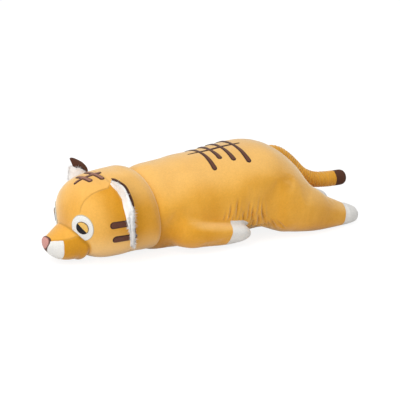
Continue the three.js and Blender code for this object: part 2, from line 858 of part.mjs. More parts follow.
function addHead(tiger, neckPivot) {
  const head = headPieces();
  addBody(tiger, neckPivot, {
    face_cover: [geometryOf(head.face), velour],
    head_back_cover: [geometryOf(head.backOfHead), velour],
    muzzle_cover: [geometryOf(head.muzzle), velour],
    head_filling: [geometryOf(head.filling), fibre],
    nose: [geometryOf(nosePiece()), pinkThread],
    forehead_mark: [geometryOf(foreheadMark()), brownThread],
  });
  const eye = eyePieces();
  const facePieces = {
    eye_white: [geometryOf(eye.white), whiteVelour],
    eyelid: [geometryOf(eye.lid), velour],
    pupil: [geometryOf(eye.pupil), blackThread],
    muzzle_patch: [geometryOf(muzzlePatch()), whiteVelour],
    upper_cheek_stripe: [geometryOf(cheekStripe(upperCheekStripeAhead, upperCheekStripeDrop)), brownThread],
    lower_cheek_stripe: [geometryOf(cheekStripe(lowerCheekStripeAhead, lowerCheekStripeDrop)), brownThread],
  };
  const ear = { ear_front: [earLeaf(-1), whiteVelour], ear_back: [earLeaf(1), brownVelour] };
  for (const side of sides) {
    addBody(tiger, neckPivot, facePieces, side, side.name + "_");
    addBody(tiger, earPivot(), ear, side, side.name + "_");
  }
}

function earPivot() {
  const grid = earGrid();
  const root = grid[earSteps / 2][0].clone();
  return root.applyAxisAngle(across, -headTilt).add(new THREE.Vector3(headCentreX, 0, headCentreZ));
}

function addLimbs(tiger) {
  const foreleg = legPieces(forms.foreleg, forelegFrontX + forelegPawShare * forelegLength);
  const hindLeg = legPieces(forms.hindLeg, hindLegFrontX + hindLegPawShare * hindLegLength);
  const shoulderX = forelegFrontX + shoulderBehind;
  const shoulder = new THREE.Vector3(shoulderX, shoulderInset - torsoHalfWidth, forelegHeight / 2);
  const hip = new THREE.Vector3(hindLegFrontX, -torsoHalfWidth, hindLegHeight / 2);
  for (const side of sides) {
    addBody(tiger, shoulder, limbPieces("foreleg", foreleg), side, side.name + "_");
    addBody(tiger, hip, limbPieces("hind_leg", hindLeg), side, side.name + "_");
  }
}

function limbPieces(name, leg) {
  return {
    [name + "_sleeve"]: [geometryOf(leg.sleeve), velour],
    [name + "_paw"]: [geometryOf(leg.paw), whiteVelour],
    [name + "_filling"]: [geometryOf(leg.filling), fibre],
  };
}

// The tiger stands on Z = 0 with the middle of its length over the origin.
const tiger = buildTiger();
const box = new THREE.Box3().setFromObject(tiger);
tiger.position.set(-(box.min.x + box.max.x) / 2, 0, -floorPress);

export default tiger;
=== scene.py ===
"""Plush tiger on its belly: brushed velour over fibre filling, with an embroidered face and stripes."""

import itertools
import json
import logging
import math
from collections.abc import Callable
from dataclasses import dataclass, field
from enum import Enum

import bmesh
import bpy
import numpy as np
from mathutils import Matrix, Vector
from mathutils.bvhtree import BVHTree
from mathutils.interpolate import poly_3d_calc


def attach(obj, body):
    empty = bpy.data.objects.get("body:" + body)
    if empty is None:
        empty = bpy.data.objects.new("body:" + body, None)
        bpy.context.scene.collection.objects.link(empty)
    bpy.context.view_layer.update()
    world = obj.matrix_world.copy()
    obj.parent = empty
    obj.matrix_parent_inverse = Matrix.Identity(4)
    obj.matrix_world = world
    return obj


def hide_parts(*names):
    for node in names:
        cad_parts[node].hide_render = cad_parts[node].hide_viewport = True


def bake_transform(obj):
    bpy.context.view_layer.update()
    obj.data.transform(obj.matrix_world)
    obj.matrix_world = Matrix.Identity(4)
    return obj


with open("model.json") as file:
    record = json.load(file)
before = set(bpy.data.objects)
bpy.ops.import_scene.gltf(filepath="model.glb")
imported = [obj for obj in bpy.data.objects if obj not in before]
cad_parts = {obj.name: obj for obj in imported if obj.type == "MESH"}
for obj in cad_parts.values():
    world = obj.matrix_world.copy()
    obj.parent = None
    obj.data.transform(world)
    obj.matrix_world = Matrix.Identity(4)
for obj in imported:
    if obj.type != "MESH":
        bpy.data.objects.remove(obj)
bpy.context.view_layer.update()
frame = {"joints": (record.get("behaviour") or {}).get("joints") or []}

Array = np.ndarray
Piece = bpy.types.Object
Socket = bpy.types.NodeSocket
Place = tuple[float, float, float]
Colour = tuple[float, float, float]
Pair = tuple[float, float]
Rows = tuple[tuple[float, ...], ...]
Measured = tuple[Array, Array]
Field = Callable[[Array], Measured]
Depth = Callable[[Array, Array], Array]

LOG = logging.getLogger("plush_tiger")
MILLIMETRE = 0.001

# The maker's frame: millimetres, X counts from the middle of the face, heights count from the floor.
# The torso's round front end stands on the floor, so the neck's height in the frame gives its radius.
FLOOR_PRESS = 0.5
JOINTS = {joint["name"]: joint for joint in frame["joints"]}
NECK_PLACE = np.array(JOINTS["neck_turn"]["pos_m"]) / MILLIMETRE
NECK_PIVOT = np.array([90.0, 0.0, NECK_PLACE[2] + FLOOR_PRESS])
NECK_RADIUS = NECK_PIVOT[2]
SHIFT = NECK_PLACE - NECK_PIVOT
WORKBENCH = "workbench"
TOUCHING = 0.4
LONGEST_MOVE = 6.0


class Side(Enum):
    """The tiger's own sides: its left lies towards -Y."""

    LEFT = -1
    RIGHT = 1

    @property
    def label(self) -> str:
        """The word that a piece's name starts with."""
        return self.name.lower()


def to_frame(points: Array) -> Array:
    """Turns places in the maker's millimetres into the frame's metres."""
    return (np.asarray(points, float) + SHIFT) * MILLIMETRE


def from_frame(points: Array) -> Array:
    """Turns places in the frame's metres into the maker's millimetres."""
    return np.asarray(points, float) / MILLIMETRE - SHIFT


def unit(vectors: Array) -> Array:
    """Scales vectors to a length of one."""
    lengths = np.linalg.norm(vectors, axis=-1, keepdims=True)
    return vectors / np.maximum(lengths, 1e-9)


def smooth_step(values: Array, low: float, high: float) -> Array:
    """Rises smoothly from 0 at low to 1 at high."""
    share = np.clip((values - low) / (high - low), 0, 1)
    return share * share * (3 - 2 * share)


def linear(red: float, green: float, blue: float) -> tuple[float, float, float, float]:
    """Turns a colour as seen on a screen, 0 to 255, into Blender's linear colour.

    Args:
        red, green, blue: the screen's levels.

    Returns:
        The linear colour with an opacity of one.
    """
    levels = np.array([red, green, blue]) / 255
    low = levels / 12.92
    high = ((levels + 0.055) / 1.055) ** 2.4
    return (*np.where(levels <= 0.04045, low, high).tolist(), 1.0)


def added(name: str, data: bpy.types.ID) -> Piece:
    """Adds an object to the scene.

    Args:
        name: its name.
        data: its mesh, lamp or camera.

    Returns:
        The object.
    """
    made = bpy.data.objects.new(name, data)
    bpy.context.scene.collection.objects.link(made)
    return made


def new_object(name: str, points: Array, faces: list[tuple[int, ...]]) -> Piece:
    """Makes a smooth mesh object from places in millimetres.

    Args:
        name: the piece's name.
        points: its corners, in the maker's millimetres.
        faces: the corners of each face.

    Returns:
        The object, which stands at the origin.
    """
    mesh = bpy.data.meshes.new(name)
    mesh.from_pydata(to_frame(points).tolist(), [], faces)
    mesh.update()
    mesh.shade_smooth()
    return added(name, mesh)


def places_of(piece: Piece) -> Array:
    """The corners of a mesh, in the maker's millimetres.

    Args:
        piece: the mesh object.

    Returns:
        A row of X, Y and Z for each corner.
    """
    flat = np.zeros(len(piece.data.vertices) * 3)
    piece.data.vertices.foreach_get("co", flat)
    return from_frame(flat.reshape(-1, 3))


def set_places(piece: Piece, points: Array) -> None:
    """Moves the corners of a mesh to places in the maker's millimetres."""
    piece.data.vertices.foreach_set("co", to_frame(points).ravel())
    piece.data.update()


def normals_of(piece: Piece) -> Array:
    """The normals at the corners of a mesh.

    Args:
        piece: the mesh object.

    Returns:
        A row of X, Y and Z for each corner.
    """
    flat = np.zeros(len(piece.data.vertices) * 3)
    piece.data.vertex_normals.foreach_get("vector", flat)
    return flat.reshape(-1, 3)


def bake(piece: Piece) -> None:
    """Turns what an object's modifiers make of its mesh into its mesh.

    Args:
        piece: the object.
    """
    graph = bpy.context.evaluated_depsgraph_get()
    made = bpy.data.meshes.new_from_object(piece.evaluated_get(graph), depsgraph=graph)
    piece.modifiers.clear()
    piece.data = made


def discard(*pieces: Piece) -> None:
    """Removes helper objects."""
    for piece in pieces:
        bpy.data.objects.remove(piece)


def copy_of(piece: Piece, name: str) -> Piece:
    """A second object with a mesh of its own."""
    return added(name, piece.data.copy())


def combine(piece: Piece, other: Piece, operation: str) -> None:
    """Joins, cuts or trims a closed mesh with another.

    Args:
        piece: the mesh that changes.
        other: the mesh that it is combined with, which stays.
        operation: UNION, DIFFERENCE or INTERSECT.
    """
    modifier = piece.modifiers.new("combine", "BOOLEAN")
    modifier.operation = operation
    modifier.object = other
    modifier.solver = "MANIFOLD"
    bake(piece)


def remesh(piece: Piece, voxel: float) -> None:
    """Gives a closed mesh even faces of about the voxel's size in millimetres.

    Args:
        piece: the mesh object.
        voxel: the size of a face, in millimetres.
    """
    modifier = piece.modifiers.new("remesh", "REMESH")
    modifier.mode = "VOXEL"
    modifier.voxel_size = voxel * MILLIMETRE
    modifier.use_smooth_shade = True
    bake(piece)


def block(name: str, low: Place, high: Place) -> Piece:
    """A box between two corners, for trimming other meshes.

    Args:
        name: the helper's name.
        low, high: its corners in the maker's millimetres.

    Returns:
        The box's object.
    """
    corners = list(itertools.product(*zip(low, high)))
    faces = [(0, 1, 3, 2), (4, 6, 7, 5), (0, 4, 5, 1), (2, 3, 7, 6), (0, 2, 6, 4), (1, 5, 7, 3)]
    return new_object(name, np.array(corners), faces)


def between(rows: Array, steps: int) -> Array:
    """Reads a table of rows as one smooth curve whose ends are level in their first column.

    Args:
        rows: the table.
        steps: how many rows to make from each stretch between two of its rows.

    Returns:
        The finer table.
    """
    slopes = np.gradient(rows, axis=0)
    slopes[0] = 1.5 * (rows[1] - rows[0]) - 0.5 * slopes[1]
    slopes[-1] = 1.5 * (rows[-1] - rows[-2]) - 0.5 * slopes[-2]
    times = np.linspace(0, len(rows) - 1, (len(rows) - 1) * steps + 1)
    index = np.minimum(times.astype(int), len(rows) - 2)
    t = (times - index)[:, None]
    start, end = rows[index], rows[index + 1]
    rise, fall = slopes[index], slopes[index + 1]
    bend = (2 * t**3 - 3 * t**2 + 1) * start + (3 * t**2 - 2 * t**3) * end
    return bend + (t**3 - 2 * t**2 + t) * rise + (t**3 - t**2) * fall


def resample(points: Array, count: int) -> Array:
    """Spaces points evenly along a line.

    Args:
        points: the line's points.
        count: how many points to place on it.

    Returns:
        The evenly spaced points.
    """
    steps = np.linalg.norm(np.diff(points, axis=0), axis=1)
    along = np.concatenate([[0], np.cumsum(steps)])
    wanted = np.linspace(0, along[-1], count)
    return np.stack([np.interp(wanted, along, column) for column in points.T], axis=1)


def tube_faces(rings: int, sides: int) -> list[tuple[int, ...]]:
    """Faces of a closed form of rings with a pole at each end, the poles' corners last.

    Args:
        rings: how many rings it has.
        sides: how many corners a ring has.

    Returns:
        The faces, seen from outside.
    """
    faces: list[tuple[int, ...]] = []
    for ring in range(rings - 1):
        for side in range(sides):
            here, there = ring * sides, (ring + 1) * sides
            after = (side + 1) % sides
            faces.append((here + side, here + after, there + after, there + side))
    first, last, end = rings * sides, rings * sides + 1, (rings - 1) * sides
    for side in range(sides):
        after = (side + 1) % sides
        faces.append((first, after, side))
        faces.append((last, end + side, end + after))
    return faces


@dataclass(frozen=True)
class Loft:
    """A closed soft form drawn as rings across X, from a table of shares.

    Each row gives: along, top, bottom, half width, squareness, side shift.
    """

    rows: Rows
    start: float
    length: float
    height: float
    half_width: float
    offset: float = 0.0
    steps: int = 10
    sides: int = 128

    def rings(self) -> Array:
        """The rings in millimetres: X, Y, top, bottom, half width, squareness."""
        fine = between(np.array(self.rows), self.steps)
        along, top, bottom, half, power, shift = fine.T
        columns = [self.start + along * self.length, shift * self.offset, top * self.height]
        columns += [bottom * self.height, np.maximum(half, 0) * self.half_width, power]
        return np.stack(columns, axis=1)

    def grid(self) -> Array:
        """The corners, ring after ring, poles included as rings without width."""
        return ring_corners(self.rings(), self.sides)


def rounded_turn(angle: Array, power: Array | float) -> tuple[Array, Array]:
    """Goes round a square with round corners, from -1 to 1 each way.

    Args:
        angle: the turns at which its corners stand.
        power: its squareness, 2 for a circle.

    Returns:
        How far across and how far up each corner lies.
    """
    bend = 2 / power
    across = np.sign(np.cos(angle)) * np.abs(np.cos(angle)) ** bend
    return across, np.sign(np.sin(angle)) * np.abs(np.sin(angle)) ** bend


def ring_corners(rings: Array, sides: int) -> Array:
    """Corners of rounded rectangles that stand across X.

    Args:
        rings: X, Y, top, bottom, half width and squareness of each.
        sides: how many corners a ring gets.

    Returns:
        An array of ring, corner and place.
    """
    angle = np.linspace(0, 2 * math.pi, sides, endpoint=False)
    x, y, top, bottom, half, power = (column[:, None] for column in rings.T)
    across, rise = rounded_turn(angle, power)
    places = [x + 0 * across, y + half * across, (top + bottom) / 2 + (top - bottom) / 2 * rise]
    return np.stack(places, axis=2)


def closed_form(name: str, grid: Array) -> Piece:
    """Makes a closed mesh of a grid whose first and last rings are poles."""
    inner = grid[1:-1]
    points = np.concatenate([inner.reshape(-1, 3), grid[:1, 0], grid[-1:, 0]])
    return new_object(name, points, tube_faces(len(inner), grid.shape[1]))


def blended_at(place: Vector, points: Array, corners: list[int], values: Array) -> Array:
    """Blends what the corners of a face hold, at a place on it.

    Args:
        place: the place.
        points: every corner of the mesh.
        corners: which of them the face has.
        values: what each corner of the mesh holds.

    Returns:
        The blended value.
    """
    weights = poly_3d_calc([Vector(points[corner]) for corner in corners], place)
    return np.array(weights) @ values[corners]


class Surface:
    """A finished skin that others are measured from or laid on."""

    def __init__(self, piece: Piece) -> None:
        """Reads the skin of a mesh object."""
        self.points = places_of(piece)
        self.normals = normals_of(piece)
        self.faces = [tuple(face.vertices) for face in piece.data.polygons]
        self.tree = BVHTree.FromPolygons(self.points.tolist(), self.faces)

    def distance(self, points: Array) -> Measured:
        """How far places lie outside the skin, and the direction that leads away from it.

        Args:
            points: places in millimetres.

        Returns:
            The distances, below zero inside, and the directions.
        """
        reach = np.empty(len(points))
        away = np.empty((len(points), 3))
        for index, point in enumerate(points):
            near, normal, _, gap = self.tree.find_nearest(point)
            offset = Vector(point) - near
            outside = offset.dot(normal) > 0
            reach[index] = gap if outside else -gap
            away[index] = normal if gap < TOUCHING else offset * ((1 if outside else -1) / gap)
        return reach, away

    def under(self, start: Array, direction: Array) -> tuple[Array, Array] | None:
        """The place and the smooth normal where a line from outside meets the skin.

        Args:
            start: where the line starts.
            direction: where it leads.

        Returns:
            The place and the normal, or None where the line misses.
        """
        place, _, index, _ = self.tree.ray_cast(start, direction)
        if place is None:
            return None
        normal = blended_at(place, self.points, list(self.faces[index]), self.normals)
        return np.array(place), normal / np.linalg.norm(normal)


def rounded_least(first: Measured, second: Measured, radius: Array | float) -> Measured:
    """Joins two distance fields with a fillet.

    Args:
        first, second: distances and directions.
        radius: the fillet's radius.

    Returns:
        The joined distances and directions.
    """
    share = np.clip(0.5 + 0.5 * (first[0] - second[0]) / radius, 0, 1)
    reach = first[0] * (1 - share) + second[0] * share - radius * share * (1 - share)
    away = first[1] * (1 - share)[:, None] + second[1] * share[:, None]
    return reach, unit(away)


def without_ball(body: Measured, points: Array, centre: Array, ball: float, radius: float) -> Measured:
    """Takes a ball out of a distance field and rounds the rim.

    Args:
        body: the field's distances and directions.
        points: the places that they were measured at.
        centre: the ball's middle.
        ball: its radius.
        radius: the rim's rounding.

    Returns:
        The distances and directions with the hollow.
    """
    outward = points - centre
    gap = np.linalg.norm(outward, axis=1)
    reach, away = rounded_least((-body[0], -body[1]), (gap - ball, unit(outward)), radius)
    return -reach, -away


def neighbour_pairs(piece: Piece) -> Array:
    """The pairs of corners that an edge joins.

    Args:
        piece: the mesh object.

    Returns:
        A row of two corners for each edge.
    """
    flat = np.zeros(len(piece.data.edges) * 2, dtype=np.int64)
    piece.data.edges.foreach_get("vertices", flat)
    return flat.reshape(-1, 2)


def relaxed(points: Array, pairs: Array, share: float = 0.5) -> Array:
    """Moves each point part of the way to the middle of its neighbours.

    Args:
        points: the places.
        pairs: which of them are neighbours.
        share: how much of the way they go.

    Returns:
        The places after the move.
    """
    total = np.zeros_like(points)
    count = np.zeros(len(points))
    for one, other in ((0, 1), (1, 0)):
        np.add.at(total, pairs[:, one], points[pairs[:, other]])
        np.add.at(count, pairs[:, one], 1)
    return points + share * (total / np.maximum(count, 1)[:, None] - points)


def settle(piece: Piece, body: Field, rounds: int = 3) -> None:
    """Moves the corners of a mesh onto the zero surface of a distance field, evenly spaced.

    Args:
        piece: the mesh.
        body: gives distances and directions at places.
        rounds: how often the corners move.
    """
    points = places_of(piece)
    pairs = neighbour_pairs(piece)
    for turn in range(rounds):
        reach, away = body(points)
        points = points - away * np.clip(reach, -LONGEST_MOVE, LONGEST_MOVE)[:, None]
        if turn < rounds - 1:
            points = relaxed(points, pairs)
    set_places(piece, points)


def press_on_floor(piece: Piece, softness: float = 3.0) -> None:
    """Flattens what would reach below the floor, with a soft edge.

    Args:
        piece: the mesh object.
        softness: how far above the floor the flattening starts, in millimetres.
    """
    points = places_of(piece)
    above = points[:, 2] - FLOOR_PRESS
    soft = (above + softness) ** 2 / (4 * softness)
    lifted = np.where(np.abs(above) < softness, soft, np.maximum(above, 0))
    points[:, 2] = FLOOR_PRESS + lifted
    set_places(piece, points)


def line_distance(points: Array, line: Array) -> tuple[Array, Array]:
    """How far places lie from a line of points, and where along it they lie.

    Args:
        points: the places.
        line: the line's points in order.

    Returns:
        The distances and the shares of the line's length.
    """
    best = np.full(len(points), np.inf)
    share = np.zeros(len(points))
    count = len(line) - 1
    for index in range(count):
        start, step = line[index], line[index + 1] - line[index]
        t = np.clip((points - start) @ step / max(step @ step, 1e-9), 0, 1)
        gap = np.linalg.norm(points - start - t[:, None] * step, axis=1)
        nearer = gap < best
        best = np.where(nearer, gap, best)
        share = np.where(nearer, (index + t) / count, share)
    return best, share


class NodeTree:
    """A short way to build a tree of nodes."""

    def __init__(self, tree: bpy.types.NodeTree) -> None:
        """Works on a tree that starts empty."""
        self.tree = tree

    def add(self, kind: str, inputs: dict | None = None, **settings: object) -> bpy.types.Node:
        """Adds a node, sets it and feeds it.

        Args:
            kind: the node's type.
            inputs: for each socket a value or another socket.
            settings: the node's own properties.

        Returns:
            The node.
        """
        node = self.tree.nodes.new(kind)
        for name, value in settings.items():
            setattr(node, name, value)
        self.feed(node, inputs or {})
        return node

    def feed(self, node: bpy.types.Node, inputs: dict) -> None:
        """Sets a node's sockets, each to a value or to another socket.

        Args:
            node: the node.
            inputs: for each socket's name or number what goes in.
        """
        for name, value in inputs.items():
            if isinstance(value, Socket):
                self.tree.links.new(value, node.inputs[name])
            else:
                node.inputs[name].default_value = value

    def attribute(self, name: str) -> Socket:
        """The number that a skin keeps for each corner, as a finish reads it."""
        return self.add("ShaderNodeAttribute", attribute_name=name).outputs["Fac"]

    def named(self, name: str, kind: str = "FLOAT") -> Socket:
        """What a mesh keeps for each corner, as geometry nodes read it."""
        return self.add("GeometryNodeInputNamedAttribute", {"Name": name}, data_type=kind).outputs[0]

    def vector(self, operation: str, inputs: dict) -> Socket:
        """One step of arithmetic on places or directions."""
        return self.add("ShaderNodeVectorMath", inputs, operation=operation).outputs[0]

    def seen_directly(self) -> Socket:
        """1 for what the camera sees, also by a reflection or through glass, and 0 for other light."""
        seen = self.add("ShaderNodeLightPath").outputs
        through = self.math("MAXIMUM", seen["Is Glossy Ray"], seen["Is Transmission Ray"])
        return self.math("MAXIMUM", seen["Is Camera Ray"], through)

    def noise(self, place: Socket, scale: float, detail: float, rough: float) -> Socket:
        """A noise pattern's level at a place."""
        inputs = {"Vector": place, "Scale": scale, "Detail": detail, "Roughness": rough}
        return self.add("ShaderNodeTexNoise", inputs).outputs["Fac"]

    def span(self, value: Socket, low: Pair, high: Pair) -> Socket:
        """Maps a value: low and high each hold what comes in and what goes out."""
        inputs = {"Value": value, "From Min": low[0], "From Max": high[0]}
        inputs |= {"To Min": low[1], "To Max": high[1]}
        return self.add("ShaderNodeMapRange", inputs).outputs["Result"]

    def mix(self, share: Socket, first: object, second: object) -> Socket:
        """Mixes two colours."""
        return self.add("ShaderNodeMix", {0: share, 6: first, 7: second}, data_type="RGBA").outputs[2]

    def math(self, operation: str, first: object, second: object) -> Socket:
        """One step of arithmetic."""
        return self.add("ShaderNodeMath", {0: first, 1: second}, operation=operation).outputs[0]


class Recipe:
    """A tree of geometry nodes with named inputs, which ends in plain faces of one finish."""

    def __init__(self, name: str, **inputs: float | int) -> None:
        """Starts a tree that takes a mesh and the named numbers.

        Args:
            name: the tree's name.
            inputs: each input's name and first value.
        """
        self.group = bpy.data.node_groups.new(name, "GeometryNodeTree")
        face = self.group.interface
        face.new_socket("Mesh", in_out="INPUT", socket_type="NodeSocketGeometry")
        face.new_socket("Mesh", in_out="OUTPUT", socket_type="NodeSocketGeometry")
        self.identifiers = {}
        for title, value in inputs.items():
            kind = "NodeSocketInt" if isinstance(value, int) else "NodeSocketFloat"
            socket = face.new_socket(title, in_out="INPUT", socket_type=kind)
            socket.default_value = value
            self.identifiers[title] = (socket.identifier, value)
        self.nodes = NodeTree(self.group)
        self.given = self.nodes.add("NodeGroupInput").outputs

    def finish(self, made: Socket, material: bpy.types.Material) -> None:
        """Turns what was made into plain faces with a finish, as the tree's result."""
        plain = self.nodes.add("GeometryNodeRealizeInstances", {0: made}).outputs[0]
        smooth = self.nodes.add("GeometryNodeSetShadeSmooth", {0: plain}).outputs[0]
        finished = self.nodes.add("GeometryNodeSetMaterial", {0: smooth, "Material": material}).outputs[0]
        self.nodes.add("NodeGroupOutput", {0: finished})

    def apply(self, piece: Piece) -> None:
        """Runs the tree on a mesh object and keeps the result as its mesh."""
        modifier = piece.modifiers.new(self.group.name, "NODES")
        modifier.node_group = self.group
        for identifier, value in self.identifiers.values():
            modifier[identifier] = value
        bake(piece)


def new_material(name: str) -> tuple[bpy.types.Material, NodeTree, bpy.types.Node]:
    """Makes an empty node material.

    Args:
        name: the finish's name.

    Returns:
        The material, its tree and its shader.
    """
    material = bpy.data.materials.new(name)
    material.use_nodes = True
    material.node_tree.nodes.clear()
    nodes = NodeTree(material.node_tree)
    shader = nodes.add("ShaderNodeBsdfPrincipled")
    nodes.add("ShaderNodeOutputMaterial", {"Surface": shader.outputs["BSDF"]})
    return material, nodes, shader


@dataclass(frozen=True)
class Velour:
    """Short brushed pile that lightens at grazing angles by its sheen, with painted shade in its seams and
    furrows and a painted highlight where a skin asks for it.
    """

    name: str
    colour: Colour
    deep: Colour
    sheen: float = 0.5
    # the colour of the painted highlight on upward faces and of the painted light on the head's lower rim
    pale: Colour = (246, 200, 126)
    sheen_tint: Colour = (255, 244, 222)
    stroke_scale: float = 16.0
    pile_scale: float = 1300.0
    pile_height: float = 0.35
    # how far the attribute that carries the panels' pile and painted shade moves the colour toward the deep
    # one
    nap_colour: float = 5.0
    seam_shadow: float = 0.25

    def material(self) -> bpy.types.Material:
        """Builds the finish, which reads the painted shade of the seams and furrows, each panel's pile
        together with painted shade, and the painted highlight.

        Returns:
            The material.
        """
        material, nodes, shader = new_material(self.name)
        place = nodes.add("ShaderNodeTexCoord").outputs["Object"]
        stretched = nodes.add("ShaderNodeMapping", {"Vector": place, "Scale": (1.0, 1.0, 0.45)})
        strokes = nodes.noise(stretched.outputs["Vector"], self.stroke_scale, 4.0, 0.6)
        pile = nodes.noise(place, self.pile_scale, 2.0, 0.6)
        tufts = nodes.noise(place, self.pile_scale / 4, 2.0, 0.6)
        nap = nodes.attribute("nap")
        # the panels' pile and painted shade shift the colour toward the deep one and darken it
        brushed = nodes.math("MULTIPLY", nap, self.nap_colour)
        share = nodes.math("ADD", nodes.span(strokes, (0.3, 0.0), (0.7, 1.0)), brushed)
        colour = nodes.mix(share, linear(*self.deep), linear(*self.colour))
        # painted highlight: where the pale attribute is high, the colour turns toward the pale one
        colour = nodes.mix(nodes.attribute("pale"), colour, linear(*self.pale))
        grain = nodes.span(nodes.math("ADD", pile, tufts), (0.7, 0.93), (1.3, 1.05))
        # painted shade: the seam attribute darkens the pile in seam grooves and gather furrows
        shadow = nodes.math("MULTIPLY", nodes.attribute("seam"), self.seam_shadow)
        lit = nodes.math("SUBTRACT", nodes.math("ADD", grain, nap), shadow)
        value = nodes.add("ShaderNodeHueSaturation", {"Color": colour, "Value": lit})
        height = nodes.math("ADD", pile, nodes.math("MULTIPLY", tufts, 1.4))
        inputs = {"Height": height, "Strength": 0.5, "Distance": self.pile_height * MILLIMETRE}
        bump = nodes.add("ShaderNodeBump", inputs)
        nodes.feed(shader, {
            "Base Color": value.outputs["Color"],
            "Normal": bump.outputs["Normal"],
            "Roughness": 0.92,
            "Specular IOR Level": 0.12,
            "Sheen Weight": self.sheen,
            "Sheen Roughness": 0.42,
            "Sheen Tint": linear(*self.sheen_tint),
        })
        return material


@dataclass(frozen=True)
class Thread:
    """Satin stitch: close rows of shiny thread, darker towards the edge of the mark."""

    name: str
    colour: Colour
    edge: Colour
    edge_width: float = 1.6
    thread_width: float = 0.8
    thread_rise: float = 0.25
    slant: float = 0.5
    roughness: float = 0.5

    def material(self) -> bpy.types.Material:
        """Builds the finish, which reads the mark's own map and its depth inside the edge.

        Returns:
            The material.
        """
        material, nodes, shader = new_material(self.name)
        flat = nodes.add("ShaderNodeUVMap", uv_map="UVMap").outputs["UV"]
        turned = nodes.add("ShaderNodeMapping", {"Vector": flat, "Rotation": (0.0, 0.0, self.slant)})
        inputs = {"Vector": turned.outputs["Vector"], "Scale": math.pi / (self.thread_width * 10)}
        inputs |= {"Distortion": 1.2, "Detail": 2.0, "Detail Scale": 1.5}
        rows = nodes.add("ShaderNodeTexWave", inputs, bands_direction="X", wave_profile="SIN")
        place = nodes.add("ShaderNodeTexCoord").outputs["Object"]
        stray = nodes.span(nodes.noise(place, 700.0, 2.0, 0.5), (0.3, -0.4), (0.7, 0.4))
        frayed = nodes.math("ADD", nodes.attribute("depth"), stray)
        share = nodes.span(frayed, (self.edge_width * 0.5, 0.0), (self.edge_width, 1.0))
        colour = nodes.mix(share, linear(*self.edge), linear(*self.colour))
        shade = nodes.span(rows.outputs["Fac"], (0.0, 0.8), (1.0, 1.1))
        value = nodes.add("ShaderNodeHueSaturation", {"Color": colour, "Value": shade})
        inputs = {"Height": rows.outputs["Fac"], "Strength": 0.7, "Distance": self.thread_rise * MILLIMETRE}
        bump = nodes.add("ShaderNodeBump", inputs)
        nodes.feed(shader, {
            "Base Color": value.outputs["Color"],
            "Normal": bump.outputs["Normal"],
            "Roughness": self.roughness,
            "Specular IOR Level": 0.22,
            "Sheen Weight": 0.04,
        })
        return material


class Finish(Enum):
    """The finishes, each with the record's slot that it belongs to."""

    GOLDEN = ("golden_velour", Velour("golden_velour_pile", (238, 176, 70), (219, 152, 34), 1.0))
    LID = ("golden_velour", Thread("golden_satin_stitch", (243, 196, 104), (94, 66, 36), 1.5))
    BROWN = (
        "brown_velour",
        Velour("brown_velour_pile", (100, 66, 52), (84, 54, 42), 0.1, (100, 66, 52), (190, 150, 130)),
    )
    WHITE = (
        "white_velour",
        Velour("white_velour_pile", (236, 234, 230), (226, 224, 219), 0.2, (236, 234, 230), (255, 255, 255)),
    )
    # painted light: the ear's white velour is whiter than the other white velour, to lift the ear out of its
    # shade
    FLUFF = (
        "white_velour",
        Velour("white_fluff_pile", (255, 255, 255), (252, 251, 249), 1.0, (255, 255, 255), (255, 255, 255)),
    )
    RING = ("white_velour", Thread("white_satin_stitch", (242, 241, 236), (196, 186, 160), 1.6))
    STRIPE = ("brown_thread", Thread("brown_satin_stitch", (98, 56, 40), (58, 30, 20), 2.2))
    FOREHEAD = ("brown_thread", Thread("light_brown_satin_stitch", (158, 108, 88), (78, 42, 26), 3.0))
    BLACK = ("black_thread", Thread("black_satin_stitch", (13, 11, 18), (13, 11, 18)))
    PINK = ("pink_thread", Thread("pink_satin_stitch", (214, 154, 144), (92, 56, 46), 2.4))

    @property
    def slot(self) -> str:
        """The record's material slot."""
        return self.value[0]

    @property
    def material(self) -> bpy.types.Material:
        """The finish's material, built when it is first asked for."""
        finish = self.value[1]
        return bpy.data.materials.get(finish.name) or finish.material()


def log_faces(piece: Piece) -> None:
    """Notes how many faces a piece has."""
    LOG.info("%s: %d faces", piece.name, len(piece.data.polygons))


def dress(piece: Piece, finish: Finish) -> None:
    """Gives a piece its finish."""
    piece.data.materials.clear()
    piece.data.materials.append(finish.material)


# The tables of the forms: along, top, bottom, half width, squareness, side shift
TORSO_SHARES: Rows = (
    (0, 0.9375, 0, 0.852, 2, 0),
    (0.1, 0.945, 0, 0.88, 2.05, 0),
    (0.18, 0.955, 0, 0.91, 2.15, 0),
    (0.33, 0.965, 0.02, 0.93, 2.25, 0),
    (0.49, 0.985, 0.05, 0.975, 2.3, 0),
    (0.64, 0.99, 0.06, 1, 2.3, 0),
    (0.74, 0.935, 0.06, 0.98, 2.25, 0),
    (0.84, 0.805, 0.05, 0.865, 2.15, 0),
    (0.92, 0.63, 0.06, 0.66, 2.1, 0),
    (0.98, 0.45, 0.1, 0.386, 2, 0),
    (1, 0.263, 0.263, 0, 2, 0),
)
HEAD_SHARES: Rows = (
    (-0.965, 0, 0, 0, 2, 0),
    (-0.925, 0.33, -0.31, 0.31, 2, 0),
    (-0.81, 0.61, -0.58, 0.6, 2, 0),
    (-0.62, 0.815, -0.78, 0.81, 2.1, 0),
    (-0.35, 0.945, -0.93, 0.935, 2.1, 0),
    (0, 0.95, -1.01, 1, 2.15, 0),
    (0.325, 0.895, -1.055, 1.035, 2.2, 0),
    (0.62, 0.83, -1.13, 1.05, 2.25, 0),
    (0.88, 0.76, -1.17, 1.01, 2.25, 0),
    (1.08, 0.57, -1, 0.8, 2.1, 0),
    (1.18, 0, 0, 0, 2, 0),
)
MUZZLE_SHARES: Rows = (
    (0, 0.42, 0.42, 0, 2, 0),
    (0.035, 0.555, 0.32, 0.33, 2.1, 0),
    (0.11, 0.6, 0.21, 0.45, 2.2, 0),
    (0.24, 0.67, 0.115, 0.63, 2.2, 0),
    (0.39, 0.76, 0.06, 0.79, 2.2, 0),
    (0.58, 0.88, 0.05, 0.95, 2.1, 0),
    (0.78, 1, 0.05, 1.02, 2, 0),
    (1, 0.5, 0.5, 0, 2, 0),
)
